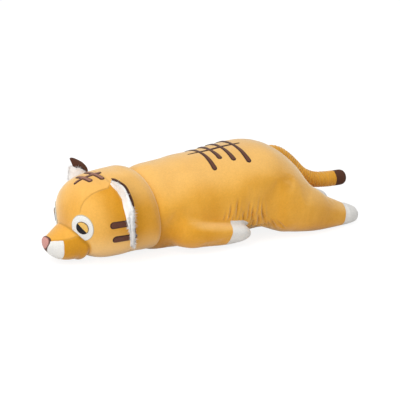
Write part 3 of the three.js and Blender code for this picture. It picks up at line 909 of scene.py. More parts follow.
FORELEG_SHARES: Rows = (
    (0, 0.6, 0.6, 0, 2, 0.77),
    (0.08, 1, 0.24, 0.86, 2, 0.8),
    (0.22, 0.94, 0.15, 0.98, 2, 0.88),
    (0.41, 0.83, 0.14, 0.96, 2, 0.93),
    (0.61, 0.735, 0.12, 0.89, 2, 0.96),
    (0.71, 0.69, 0.11, 0.85, 2, 0.97),
    (0.87, 0.61, 0.12, 0.74, 2, 1),
    (0.965, 0.48, 0.18, 0.46, 2, 1),
    (1, 0.33, 0.33, 0, 2, 1),
)
HIND_LEG_SHARES: Rows = (
    (0, 0.5, 0.5, 0, 2, 0.92),
    (0.07, 0.96, 0.16, 0.82, 2, 0.93),
    (0.2, 1, 0.07, 1, 2, 0.96),
    (0.34, 0.9, 0.03, 0.955, 2, 1),
    (0.48, 0.755, 0, 0.84, 2, 1),
    (0.64, 0.55, 0, 0.67, 2, 1),
    (0.8, 0.425, 0.01, 0.52, 2, 1),
    (0.86, 0.4, 0.02, 0.48, 2, 1),
    (0.95, 0.32, 0.05, 0.33, 2, 1),
    (1, 0.18, 0.18, 0, 2, 1),
)


@dataclass(frozen=True)
class LimbForm:
    """What tells a foreleg and a hind leg apart, in millimetres."""

    name: str
    rows: Rows
    start: float
    length: float
    height: float
    half_width: float
    offset: float
    paw_seam: float
    fillet_front: float
    fillet_back: float
    bend_start: float
    bend_end: float

    def loft(self, side: Side, swell: float = 0.0) -> Loft:
        """The leg's form on one side, swollen all round by a few millimetres.

        Args:
            side: which leg.
            swell: how far the form grows.

        Returns:
            The form.
        """
        rise = swell / self.height
        rows = tuple((along, top + rise, bottom - rise, *rest) for along, top, bottom, *rest in self.rows)
        length, wide = self.length + 2 * swell, self.half_width + swell
        return Loft(rows, self.start - swell, length, self.height, wide, side.value * self.offset)

    def fillet(self, points: Array) -> Array:
        """The fillet's radius between leg and torso, which shrinks towards the paw."""
        share = smooth_step(points[:, 0], self.start, self.start + self.length * 0.55)
        return self.fillet_front + share * (self.fillet_back - self.fillet_front)


FORELEG = LimbForm("foreleg", FORELEG_SHARES, 92, 153, 66, 27, 75, 195.5, 20, 7, 104, 158)
HIND_LEG = LimbForm("hind_leg", HIND_LEG_SHARES, 300, 174, 98, 44, 54, 438.0, 34, 10, 306, 376)


def store(piece: Piece, name: str, values: Array) -> None:
    """Keeps a number for each corner of a mesh under a name."""
    layer = piece.data.attributes.get(name) or piece.data.attributes.new(name, "FLOAT", "POINT")
    layer.data.foreach_set("value", values.astype(np.float32))


def groove(gap: Array, width: float) -> Array:
    """How near places lie to a line: 1 on it, fading to 0 over the width."""
    return np.exp(-((gap / width) ** 2))


def ripple(points: Array) -> Array:
    """Slow uneven waves of stuffed cloth, between about -1 and 1.

    Args:
        points: the places.

    Returns:
        The height of the waves at each place.
    """
    x, y, z = points.T
    first = np.sin(x / 19 + 0.7) * np.sin(z / 15 + y / 31 + 1.9)
    second = np.sin(x / 11 + y / 17 + 2.3) * np.sin(z / 9.5 - x / 37 + 0.4)
    return 0.65 * first + 0.35 * second


@dataclass(frozen=True)
class Gather:
    """A furrow where the flank's cloth is drawn in, with a lip on either side. Sizes are in millimetres."""

    x: float
    lean: float
    z: float
    reach: float
    depth: float
    width: float

    def raised(self, points: Array) -> Array:
        """How far the skin stands out at each place.

        Args:
            points: the places.

        Returns:
            The heights in millimetres.
        """
        rise = points[:, 2] - self.z
        across = np.abs(points[:, 0] - self.x - self.lean * rise)
        fade = np.clip(1 - (rise / self.reach) ** 2, 0, 1) ** 1.5
        lips = 0.55 * groove(across - 1.9 * self.width, self.width)
        return self.depth * fade * (lips - groove(across, self.width))


FLANK_GATHERS = (
    Gather(190, 0.2, 58, 18, 0.8, 2.6),
    Gather(199, 0.12, 66, 19, 1.5, 2.4),
    Gather(205, 0.1, 48, 15, 1.2, 2.2),
    Gather(213, 0.06, 70, 24, 1.3, 2.4),
    Gather(219, 0.05, 43, 15, 1.4, 2.1),
    Gather(224, -0.05, 37, 13, 1.5, 2.0),
    Gather(229, -0.1, 47, 22, 1.9, 2.5),
    Gather(236, -0.05, 38, 14, 1.6, 2.0),
    Gather(239, -0.05, 61, 24, 1.2, 2.3),
    Gather(247, -0.12, 51, 23, 2.1, 2.5),
    Gather(253, -0.15, 37, 15, 2.0, 2.0),
    Gather(257, 0.0, 68, 22, 0.9, 2.3),
    Gather(262, -0.2, 40, 15, 1.7, 2.1),
    Gather(266, -0.2, 57, 25, 1.4, 2.4),
    Gather(273, -0.45, 40, 18, 2.0, 2.3),
    Gather(281, -0.6, 34, 15, 1.6, 2.2),
    Gather(290, -0.7, 31, 14, 1.4, 2.3),
    Gather(303, -0.9, 27, 12, 1.1, 2.4),
)


@dataclass(frozen=True)
class Stuffing:
    """Fibre filling that presses a sewn cover outwards, as cloth simulation works it out."""

    voxel: float = 5.0
    pressure: float = 4.0
    frames: int = 20
    slack: float = 0.02
    cap: float = 4.0

    def swell(self, piece: Piece) -> None:
        """Fills a closed cover and keeps its size on the whole.

        Args:
            piece: the cover, whose corners move.
        """
        shell = copy_of(piece, WORKBENCH)
        remesh(shell, self.voxel)
        before = places_of(shell)
        faces = [tuple(face.vertices) for face in shell.data.polygons]
        cloth = shell.modifiers.new("cloth", "CLOTH")
        cloth.settings.use_pressure = True
        cloth.settings.uniform_pressure_force = self.pressure
        cloth.settings.shrink_min = -self.slack
        cloth.settings.effector_weights.gravity = 0
        cloth.point_cache.frame_end = self.frames
        for step in range(1, self.frames + 1):
            bpy.context.scene.frame_set(step)
        bake(shell)
        moved = places_of(shell) - before
        discard(shell)
        bpy.context.scene.frame_set(1)
        length = np.linalg.norm(moved, axis=1, keepdims=True)
        moved *= self.cap * np.tanh(length / self.cap) / np.maximum(length, 1e-6)
        tree = BVHTree.FromPolygons(before.tolist(), faces)
        points, normals = places_of(piece), normals_of(piece)
        carried = np.zeros_like(points)
        for index, point in enumerate(points):
            near, _, face, _ = tree.find_nearest(point)
            carried[index] = blended_at(near, before, list(faces[face]), moved)
        outward = np.sum(carried * normals, axis=1)
        LOG.info("filling pressed a cover out by %.1f to %.1f mm", outward.min(), outward.max())
        set_places(piece, points + normals * (outward - outward.mean())[:, None])


@dataclass
class Body:
    """The torso and its four legs, modelled as one smooth skin and then parted at the legs.

    Sizes are in millimetres. The knives that part the legs are larger than the legs by limb_swell. The
    form left where a leg swings away lies under the skin by torso_shrink.
    """

    length: float = 304.0
    height: float = 160.0
    half_width: float = 88.0
    dome_rings: int = 40
    voxel: float = 1.9
    limb_swell: float = 5.0
    torso_shrink: float = 7.0
    seam_height: float = 27.0
    seam_depth: float = 1.1
    softness: float = 0.8
    paw_seam_lean: float = 0.24
    paw_seam_middle: float = 25.0
    gather_strength: float = 1.7
    leg_reach: float = 25.0
    limbs: tuple[LimbForm, ...] = (FORELEG, HIND_LEG)
    skins: dict[str, Surface] = field(default_factory=dict)

    def torso_grid(self) -> Array:
        """The torso's form: the round dome that carries the head, then the barrel and the rump.

        Returns:
            The corners, ring after ring.
        """
        loft = Loft(TORSO_SHARES, NECK_PIVOT[0], self.length, self.height, self.half_width)
        angle = np.linspace(0, math.pi / 2, self.dome_rings, endpoint=False)
        radius = NECK_RADIUS * np.sin(angle)
        x = NECK_PIVOT[0] - NECK_RADIUS * np.cos(angle)
        flat = np.zeros_like(x)
        dome = np.stack([x, flat, NECK_RADIUS + radius, NECK_RADIUS - radius, radius, flat + 2], axis=1)
        return ring_corners(np.concatenate([dome, loft.rings()]), loft.sides)

    def field(self) -> Field:
        """The distance field of the torso and its legs, with fillets between them."""
        torso = self.skins["torso"]
        legs = [(limb, self.skins[f"{side.label}_{limb.name}"]) for side in Side for limb in self.limbs]

        def measure(points: Array) -> Measured:
            """Distances and directions at places."""
            found = torso.distance(points)
            for limb, skin in legs:
                low = skin.points.min(axis=0) - self.leg_reach
                high = skin.points.max(axis=0) + self.leg_reach
                near = np.all((points > low) & (points < high), axis=1)
                close, whole = points[near], (found[0][near], found[1][near])
                part = rounded_least(whole, skin.distance(close), limb.fillet(close))
                found[0][near], found[1][near] = part
            return found

        return measure

    def relief(self, points: Array, seam: Array) -> Array:
        """How far the skin stands out at each place: gathers on the flanks, the seam and soft waves.

        Args:
            points: the places.
            seam: how near each lies to the belly seam.

        Returns:
            The heights in millimetres.
        """
        return self.drawn(points) + self.softness * ripple(points) - self.seam_depth * seam

    def drawn(self, points: Array) -> Array:
        """How far the gathers alone raise or sink the skin."""
        flank = smooth_step(np.abs(points[:, 1]), 48, 66)
        strength = self.gather_strength * flank * self.off_forelegs(points)
        return strength * sum(gather.raised(points) for gather in FLANK_GATHERS)

    def belly_seam(self, points: Array) -> Array:
        """How near places lie to the seam between the back cover and the belly cover.

        Args:
            points: the places.

        Returns:
            1 on the seam, fading to 0 beside it.
        """
        behind = smooth_step(points[:, 0], 128, 150) * (1 - smooth_step(points[:, 0], 268, 296))
        side = smooth_step(np.abs(points[:, 1]), 40, 50)
        wander = 1.2 * np.sin(points[:, 0] / 7.0) * smooth_step(points[:, 0], 190, 215)
        line = groove(points[:, 2] - self.seam_height - wander, 1.5)
        return self.off_forelegs(points) * behind * side * line

    def off_forelegs(self, points: Array) -> Array:
        """0 where places lie on a foreleg's own form and 1 away from it."""
        forelegs = [self.skins[f"{side.label}_{FORELEG.name}"].distance(points)[0] for side in Side]
        return smooth_step(np.min(np.abs(forelegs), axis=0), 3, 9)

    def build(self) -> tuple[Piece, dict[str, Piece]]:
        """Models the skin and parts it.

        Returns:
            The torso and the legs by name.
        """
        torso = closed_form(WORKBENCH, self.torso_grid())
        self.skins["torso"] = Surface(torso)
        whole = copy_of(torso, WORKBENCH)
        for side in Side:
            for limb in self.limbs:
                leg = closed_form(WORKBENCH, limb.loft(side).grid())
                self.skins[f"{side.label}_{limb.name}"] = Surface(leg)
                combine(whole, leg, "UNION")
                discard(leg)
        remesh(whole, self.voxel)
        settle(whole, self.field())
        Stuffing().swell(whole)
        press_on_floor(whole)
        points = places_of(whole)
        seam = self.belly_seam(points)
        raised = self.relief(points, seam) * smooth_step(points[:, 2], 1, 8)
        set_places(whole, points + normals_of(whole) * raised[:, None])
        # painted highlight: skin that faces up is made paler
        store(whole, "pale", 0.55 * smooth_step(normals_of(whole)[:, 2], 0.15, 0.85))
        # painted shade in the belly seam's groove and in the furrows of the gathers
        store(whole, "seam", seam + np.clip(-self.drawn(points) / 3.8, 0, 0.9))
        legs = {}
        rest = copy_of(whole, "torso_plush")
        for side in Side:
            for limb in self.limbs:
                knife = closed_form(WORKBENCH, limb.loft(side, self.limb_swell).grid())
                name = f"{side.label}_{limb.name}"
                legs[name] = copy_of(whole, name)
                combine(legs[name], knife, "INTERSECT")
                combine(rest, knife, "DIFFERENCE")
                discard(knife)
        set_places(torso, places_of(torso) - normals_of(torso) * self.torso_shrink)
        press_on_floor(torso)
        combine(rest, torso, "UNION")
        discard(torso, whole)
        return rest, legs

    def dress(self) -> Surface:
        """Builds the torso and the legs, gives them their fabric and hangs the torso on its body.

        Returns:
            The torso's skin, for the marks on the back.
        """
        torso, legs = self.build()
        crisp(torso)
        dress(torso, Finish.GOLDEN)
        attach(torso, "torso")
        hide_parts("torso_back_cover", "belly_cover", "torso_filling")
        log_faces(torso)
        for name, leg in legs.items():
            self.dress_leg(name, leg)
        return Surface(torso)

    def dress_leg(self, name: str, leg: Piece) -> None:
        """Parts a leg at its paw seam and gives the sleeve and the paw their fabric.

        Args:
            name: the leg's name, which is its body's.
            leg: its skin.
        """
        limb = HIND_LEG if name.endswith(HIND_LEG.name) else FORELEG
        far = 1000.0
        behind = block(WORKBENCH, (limb.paw_seam, -far, -far), (far, far, far))
        corners = places_of(behind)
        front = corners[:, 0] < far / 2
        corners[front, 0] += self.paw_seam_lean * (corners[front, 2] - self.paw_seam_middle)
        set_places(behind, corners)
        paw = copy_of(leg, f"{name}_paw_plush")
        leg.name = f"{name}_sleeve_plush"
        combine(paw, behind, "INTERSECT")
        combine(leg, behind, "DIFFERENCE")
        discard(behind)
        middle = sum(places_of(leg)[:, 1]) / len(leg.data.vertices)
        for piece, finish in ((leg, Finish.GOLDEN), (paw, Finish.WHITE)):
            crisp(piece)
            dress(piece, finish)
            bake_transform(piece)
            log_faces(piece)
        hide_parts(f"{name}_sleeve", f"{name}_filling")
        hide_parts(f"{name}_paw")


def crisp(piece: Piece, degrees: float = 50.0) -> None:
    """Shades a mesh smoothly, apart from edges that are sharper than an angle."""
    piece.data.shade_smooth()
    piece.data.set_sharp_from_angle(angle=math.radians(degrees))


@dataclass
class Head:
    """The head with its muzzle, one smooth skin with a round hollow for the torso's dome.

    Sizes are in millimetres.
    """

    radius: float = 77.0
    centre: Place = (-13.0, 0.0, 76.0)
    pitch: float = math.radians(15)
    muzzle_tip: float = -123.0
    muzzle_length: float = 84.0
    muzzle_height: float = 84.0
    muzzle_half_width: float = 43.0
    muzzle_fillet: float = 5.0
    seam_share: float = 0.19
    seam_depth: float = 1.0
    softness: float = 0.35
    face_seam_places: tuple[float, ...] = (-0.73, -0.68, -0.57, -0.37, -0.12, 0.06, 0.17)
    face_seam_degrees: tuple[float, ...] = (41.4, 47.4, 52.3, 54.7, 53.8, 52.0, 56.5)
    muzzle_seam: tuple[Place, ...] = (
        (-117.0, -11.0, 44.8),
        (-100.7, -23.8, 46.4),
        (-91.3, -29.8, 48.1),
        (-78.0, -35.5, 53.5),
    )
    hollow_radius: float = NECK_RADIUS + 2.2
    rim: float = 4.0
    voxel: float = 1.5
    muzzle_skin: Surface | None = None

    def tilted(self, points: Array) -> Array:
        """Tips places in the head's own directions and puts them round its middle.

        Args:
            points: places in the head's own directions.

        Returns:
            The places in millimetres.
        """
        x, y, z = np.moveaxis(np.asarray(points, float), -1, 0)
        cosine, sine = math.cos(self.pitch), math.sin(self.pitch)
        return np.stack([x * cosine - z * sine, y, z * cosine + x * sine], axis=-1) + np.array(self.centre)

    def shares(self, points: Array) -> Array:
        """Places as shares of the head's radius in its own directions.

        Args:
            points: places in millimetres.

        Returns:
            The shares.
        """
        x, y, z = np.moveaxis(points - np.array(self.centre), -1, 0)
        cosine, sine = math.cos(self.pitch), math.sin(self.pitch)
        return np.stack([x * cosine + z * sine, y, z * cosine - x * sine], axis=-1) / self.radius

    def seams(self, points: Array, skull_gap: Array, muzzle_gap: Array) -> tuple[Array, Array, Array]:
        """Where the head's seams run, how the pile of its panels lies, and where light and shade are painted
        on it.

        Args:
            points: places on the skin.
            skull_gap: how far each lies from the skull's form.
            muzzle_gap: how far each lies from the muzzle's form.

        Returns:
            How near each place lies to a seam, which also sets the painted shade in it; how much lighter or
            darker each place is, partly from its panel's pile and partly painted shade by the ear and under
            the muzzle's side seam; and how pale, a painted highlight on the upper head and the muzzle's top
            and painted light on the lower rim, partly a panel's paler pile.
        """
        local = self.shares(points)
        mirrored = np.stack([points[:, 0], -np.abs(points[:, 1]), points[:, 2]], axis=1)
        off_muzzle = smooth_step(muzzle_gap, 2, 6)
        angle = np.degrees(np.arctan2(local[:, 2], np.abs(local[:, 1])))
        seam_angle = np.interp(local[:, 0], self.face_seam_places, self.face_seam_degrees)
        aside = np.radians(angle - seam_angle) * np.hypot(local[:, 1], local[:, 2]) * self.radius
        ahead = smooth_step(self.seam_share - local[:, 0], 0.0, 0.02) * smooth_step(local[:, 0], -0.76, -0.7)
        face = groove(aside, 1.3) * ahead * off_muzzle
        cross = groove((local[:, 0] - self.seam_share) * self.radius, 1.4) * off_muzzle
        round_muzzle = groove(skull_gap - muzzle_gap, 2.0)
        line = np.array(self.muzzle_seam)
        side_gap, _ = line_distance(mirrored, line)
        side = groove(side_gap, 1.2) * smooth_step(skull_gap, 0, 3)
        seam = np.maximum.reduce([face, 0.7 * cross, round_muzzle, side])
        below = smooth_step(np.interp(points[:, 0], line[:, 0], line[:, 2]) - points[:, 2], -2, 3)
        jowl = below * (1 - smooth_step(muzzle_gap, 0, 3))
        cheek = smooth_step(-aside, -2, 2) * smooth_step(self.seam_share - local[:, 0], 0, 0.03) * off_muzzle
        behind = smooth_step(local[:, 0] - self.seam_share, 0, 0.03)
        front = (1 - cheek) * (1 - behind)
        # painted highlight on the upper head and painted light on its lower rim
        high, low = smooth_step(points[:, 2], 92, 135), smooth_step(-points[:, 2], -64, -26)
        by_ear = smooth_step(local[:, 0], -0.6, 0.1) * smooth_step(local[:, 2], -0.6, 0.25)
        # the face and cheek panels' paler pile, kept off the shaded hollow by the ear
        level = 0.15 * front + 0.3 * cheek * (1 - by_ear)
        pale = off_muzzle * (0.55 * low + high * (0.5 * behind + 0.25 * front) + level)
        # painted highlight on the muzzle's top, above its side seam
        pale = pale + 0.15 * (1 - off_muzzle) * (1 - below)
        # painted shade in the hollow by the ear and on the muzzle's side below its seam, with the back
        # panel's pile a little darker
        nap = -0.1 * cheek * by_ear - 0.05 * behind * smooth_step(-aside, -20, 10) - 0.14 * jowl
        return seam, nap, pale

    def build(self) -> Piece:
        """Models the skin.

        Returns:
            The head's mesh, which knows its seams, its pile and its painted light and shade.
        """
        size = self.radius
        skull = Loft(HEAD_SHARES, 0, size, size, size)
        snout = Loft(
            MUZZLE_SHARES, self.muzzle_tip, self.muzzle_length, self.muzzle_height, self.muzzle_half_width,
        )
        head = closed_form("head_plush", self.tilted(skull.grid()))
        muzzle = closed_form(WORKBENCH, snout.grid())
        head_skin, muzzle_skin = Surface(head), Surface(muzzle)
        self.muzzle_skin = muzzle_skin
        hollow = ball(self.hollow_radius)
        combine(head, muzzle, "UNION")
        combine(head, hollow, "DIFFERENCE")
        discard(muzzle, hollow)
        remesh(head, self.voxel)

        def measure(points: Array) -> Measured:
            """Distances and directions at places."""
            skull_field, muzzle_field = head_skin.distance(points), muzzle_skin.distance(points)
            joined = rounded_least(skull_field, muzzle_field, self.muzzle_fillet)
            return without_ball(joined, points, NECK_PIVOT, self.hollow_radius, self.rim)

        settle(head, measure)
        press_on_floor(head)
        points = places_of(head)
        seam, nap, pale = self.seams(points, head_skin.distance(points)[0], muzzle_skin.distance(points)[0])
        from_pivot = np.linalg.norm(points - NECK_PIVOT, axis=1)
        free = smooth_step(from_pivot, self.hollow_radius, self.hollow_radius + 5)
        seam = seam * free
        raised = self.softness * ripple(points * 1.3) * free - self.seam_depth * seam
        set_places(head, points + normals_of(head) * raised[:, None])
        press_on_floor(head)
        # painted shade along the seams; then the panels' pile with painted shade, and the painted highlight
        # and rim light
        store(head, "seam", seam)
        store(head, "nap", nap)
        store(head, "pale", pale)
        return head

    def dress(self) -> Surface:
        """Builds the head and gives it its fabric.

        Returns:
            Its skin, for what is sewn on it.
        """
        head = self.build()
        dress(head, Finish.GOLDEN)
        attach(head, "head")
        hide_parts("face_cover", "head_back_cover", "muzzle_cover", "head_filling")
        log_faces(head)
        return Surface(head)


def ball(radius: float, sides: int = 96) -> Piece:
    """A ball round the neck's pivot.

    Args:
        radius: its radius in millimetres.
        sides: how round it is.

    Returns:
        The ball as a closed mesh.
    """
    angle = np.linspace(0, math.pi, sides // 2 + 1)
    x = NECK_PIVOT[0] - radius * np.cos(angle)
    wide = radius * np.sin(angle)
    wide[[0, -1]] = 0
    flat = np.zeros_like(x)
    rings = np.stack([x, flat, NECK_PIVOT[2] + wide, NECK_PIVOT[2] - wide, wide, flat + 2], axis=1)
    return closed_form(WORKBENCH, ring_corners(rings, sides))


@dataclass
class NeckPanel:
    """The cap of fabric between the torso's dome and the head, in millimetres."""

    radius: float = NECK_RADIUS + 0.8
    thickness: float = 0.9
    edge: float = math.radians(50)
    rings: int = 24
    sides: int = 96

    def dress(self) -> None:
        """Builds the cap and gives it its fabric."""
        angle = np.concatenate([
            np.linspace(0, self.edge, self.rings), np.linspace(self.edge, 0, self.rings)
        ])
        radius = np.repeat([self.radius + self.thickness, self.radius], self.rings)
        turn = np.linspace(0, 2 * math.pi, self.sides, endpoint=False)
        x = -radius * np.cos(angle)
        wide = radius * np.sin(angle)
        across, high = wide[:, None] * np.cos(turn), wide[:, None] * np.sin(turn)
        rings = np.stack([x[:, None] + 0 * turn, across, high], axis=2)
        cap = closed_form("neck_panel_fabric", rings + NECK_PIVOT)
        dress(cap, Finish.GOLDEN)
        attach(cap, "neck")
        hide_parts("neck_panel")
        log_faces(cap)


@dataclass(frozen=True)
class Stroke:
    """One stroke of a mark: a line on the sheet with a half width at either end, in millimetres."""

    start: Pair
    end: Pair
    start_half: float
    end_half: float

    def depth(self, places: Array) -> Array:
        """How deep places lie inside the stroke, below zero outside.

        Args:
            places: flat places on the sheet.

        Returns:
            The depths in millimetres.
        """
        first, last = np.array(self.start), np.array(self.end)
        step = last - first
        t = np.clip((places - first) @ step / (step @ step), 0, 1)
        gap = np.linalg.norm(places - first - t[..., None] * step, axis=-1)
        return self.start_half + t * (self.end_half - self.start_half) - gap


def strokes_depth(strokes: tuple[Stroke, ...]) -> Depth:
    """The depth inside several strokes drawn as one mark."""
    return lambda flat, solid: np.max([stroke.depth(flat) for stroke in strokes], axis=0)


def oval_depth(half_width: float, half_height: float) -> Depth:
    """The depth inside an oval round the sheet's middle.

    Args:
        half_width: half of its width.
        half_height: half of its height.

    Returns:
        What gives the depth at a flat place and its place on the skin.
    """
    def depth(flat: Array, solid: Array) -> Array:
        """Depth by the oval's own radius in that direction."""
        reach = np.linalg.norm(flat / np.array([half_width, half_height]), axis=-1)
        return (1 - reach) * min(half_width, half_height)
    return depth


@dataclass(frozen=True)
class Sheet:
    """A flat sheet in front of a skin, from which a mark is laid onto it."""

    centre: Place
    right: Place
    rise: Place
    half_width: float
    half_height: float
    spacing: float = 0.8

    @property
    def facing(self) -> Array:
        """The direction away from the skin."""
        return unit(np.cross(np.array(self.right), np.array(self.rise)))

    def places(self) -> tuple[Array, Array]:
        """The sheet's grid: flat places and places in space."""
        across = np.arange(-self.half_width, self.half_width + self.spacing / 2, self.spacing)
        rising = np.arange(-self.half_height, self.half_height + self.spacing / 2, self.spacing)
        flat = np.stack(np.meshgrid(across, rising, indexing="ij"), axis=-1)
        right, rise = np.array(self.right), np.array(self.rise)
        return flat, np.array(self.centre) + flat[..., :1] * right + flat[..., 1:] * rise


@dataclass(frozen=True)
class Mark:
    """A raised patch of stitches or pile, laid onto a skin from a sheet."""

    name: str
    sheet: Sheet
    depth: Depth
    height: float
    edge: float
    finish: Finish
    lift: float = 0.0
    tone: Depth | None = None
    sunk: float = 1.4
    skirt: float = 1.3

    def build(self, skin: Surface) -> Piece:
        """Lays the mark onto a skin.

        Args:
            skin: what carries it.

        Returns:
            The mark as a closed mesh.
        """
        flat, solid = self.sheet.places()
        shape = flat.shape[:2]
        places = np.zeros((*shape, 3))
        normals = np.zeros((*shape, 3))
        found = np.zeros(shape, bool)
        facing = self.sheet.facing
        for index in np.ndindex(shape):
            hit = skin.under(solid[index], -facing)
            if hit is not None:
                places[index], normals[index], found[index] = *hit, True
        depth = np.where(found, self.depth(flat, places), -9)
        share = np.clip(depth / self.edge, 0, 1)
        raised = np.where(depth > 0, self.lift + self.height * np.sqrt(1 - (1 - share) ** 2), depth * 0.8)
        raised = np.maximum(raised, -1.0)
        top = places + normals * raised[..., None]
        bottom = places - normals * self.sunk
        kept = depth > -self.skirt
        cells = kept[:-1, :-1] & kept[1:, :-1] & kept[:-1, 1:] & kept[1:, 1:]
        shown = self.tone(flat, places) if self.tone else depth
        return self.closed(top, bottom, flat, shown, cells)

    def closed(self, top: Array, bottom: Array, flat: Array, depth: Array, cells: Array) -> Piece:
        """Closes a raised grid with an underside and walls.

        Args:
            top: the raised corners.
            bottom: the corners of the underside.
            flat: the sheet's flat places.
            depth: the depth inside the edge that the finish reads.
            cells: which of the grid's cells belong to the mark.

        Returns:
            The closed mesh.
        """
        rows, columns = flat.shape[:2]
        number = np.arange(rows * columns).reshape(rows, columns)
        under = number + rows * columns
        faces = []
        walls: dict[tuple[int, int], tuple[int, int]] = {}
        for i, j in zip(*np.nonzero(cells)):
            ring = [(i, j), (i + 1, j), (i + 1, j + 1), (i, j + 1)]
            faces.append(tuple(int(number[at]) for at in ring))
            faces.append(tuple(int(under[at]) for at in reversed(ring)))
            for one, other in zip(ring, ring[1:] + ring[:1]):
                pair = (int(number[one]), int(number[other]))
                if pair[::-1] in walls:
                    del walls[pair[::-1]]
                else:
                    walls[pair] = (int(under[one]), int(under[other]))
        for (one, other), (low_one, low_other) in walls.items():
            faces.append((other, one, low_one, low_other))
        used = sorted({corner for face in faces for corner in face})
        renumber = {old: new for new, old in enumerate(used)}
        points = np.concatenate([top.reshape(-1, 3), bottom.reshape(-1, 3)])[used]
        piece = new_object(self.name, points, [tuple(renumber[corner] for corner in face) for face in faces])
        self.map(piece, np.tile(flat.reshape(-1, 2), (2, 1))[used], np.tile(depth.ravel(), 2)[used])
        return piece

    def map(self, piece: Piece, flat: Array, depth: Array) -> None:
        """Stores the mark's flat places as its UV map and the depth inside its edge."""
        layer = piece.data.uv_layers.new(name="UVMap")
        corners = np.zeros(len(piece.data.loops), dtype=np.int64)
        piece.data.loops.foreach_get("vertex_index", corners)
        layer.data.foreach_set("uv", flat[corners].ravel())
        store(piece, "depth", depth)

    def dress(self, skin: Surface, body: str, *nodes: str) -> Piece:
        """Builds the mark and hangs it on a body.

        Args:
            skin: what carries it.
            body: the body that it rides on.
            nodes: the CAD nodes that it stands for.

        Returns:
            The mark.
        """
        piece = self.build(skin)
        dress(piece, self.finish)
        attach(piece, body)
        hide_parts(*nodes)
        log_faces(piece)
        return piece


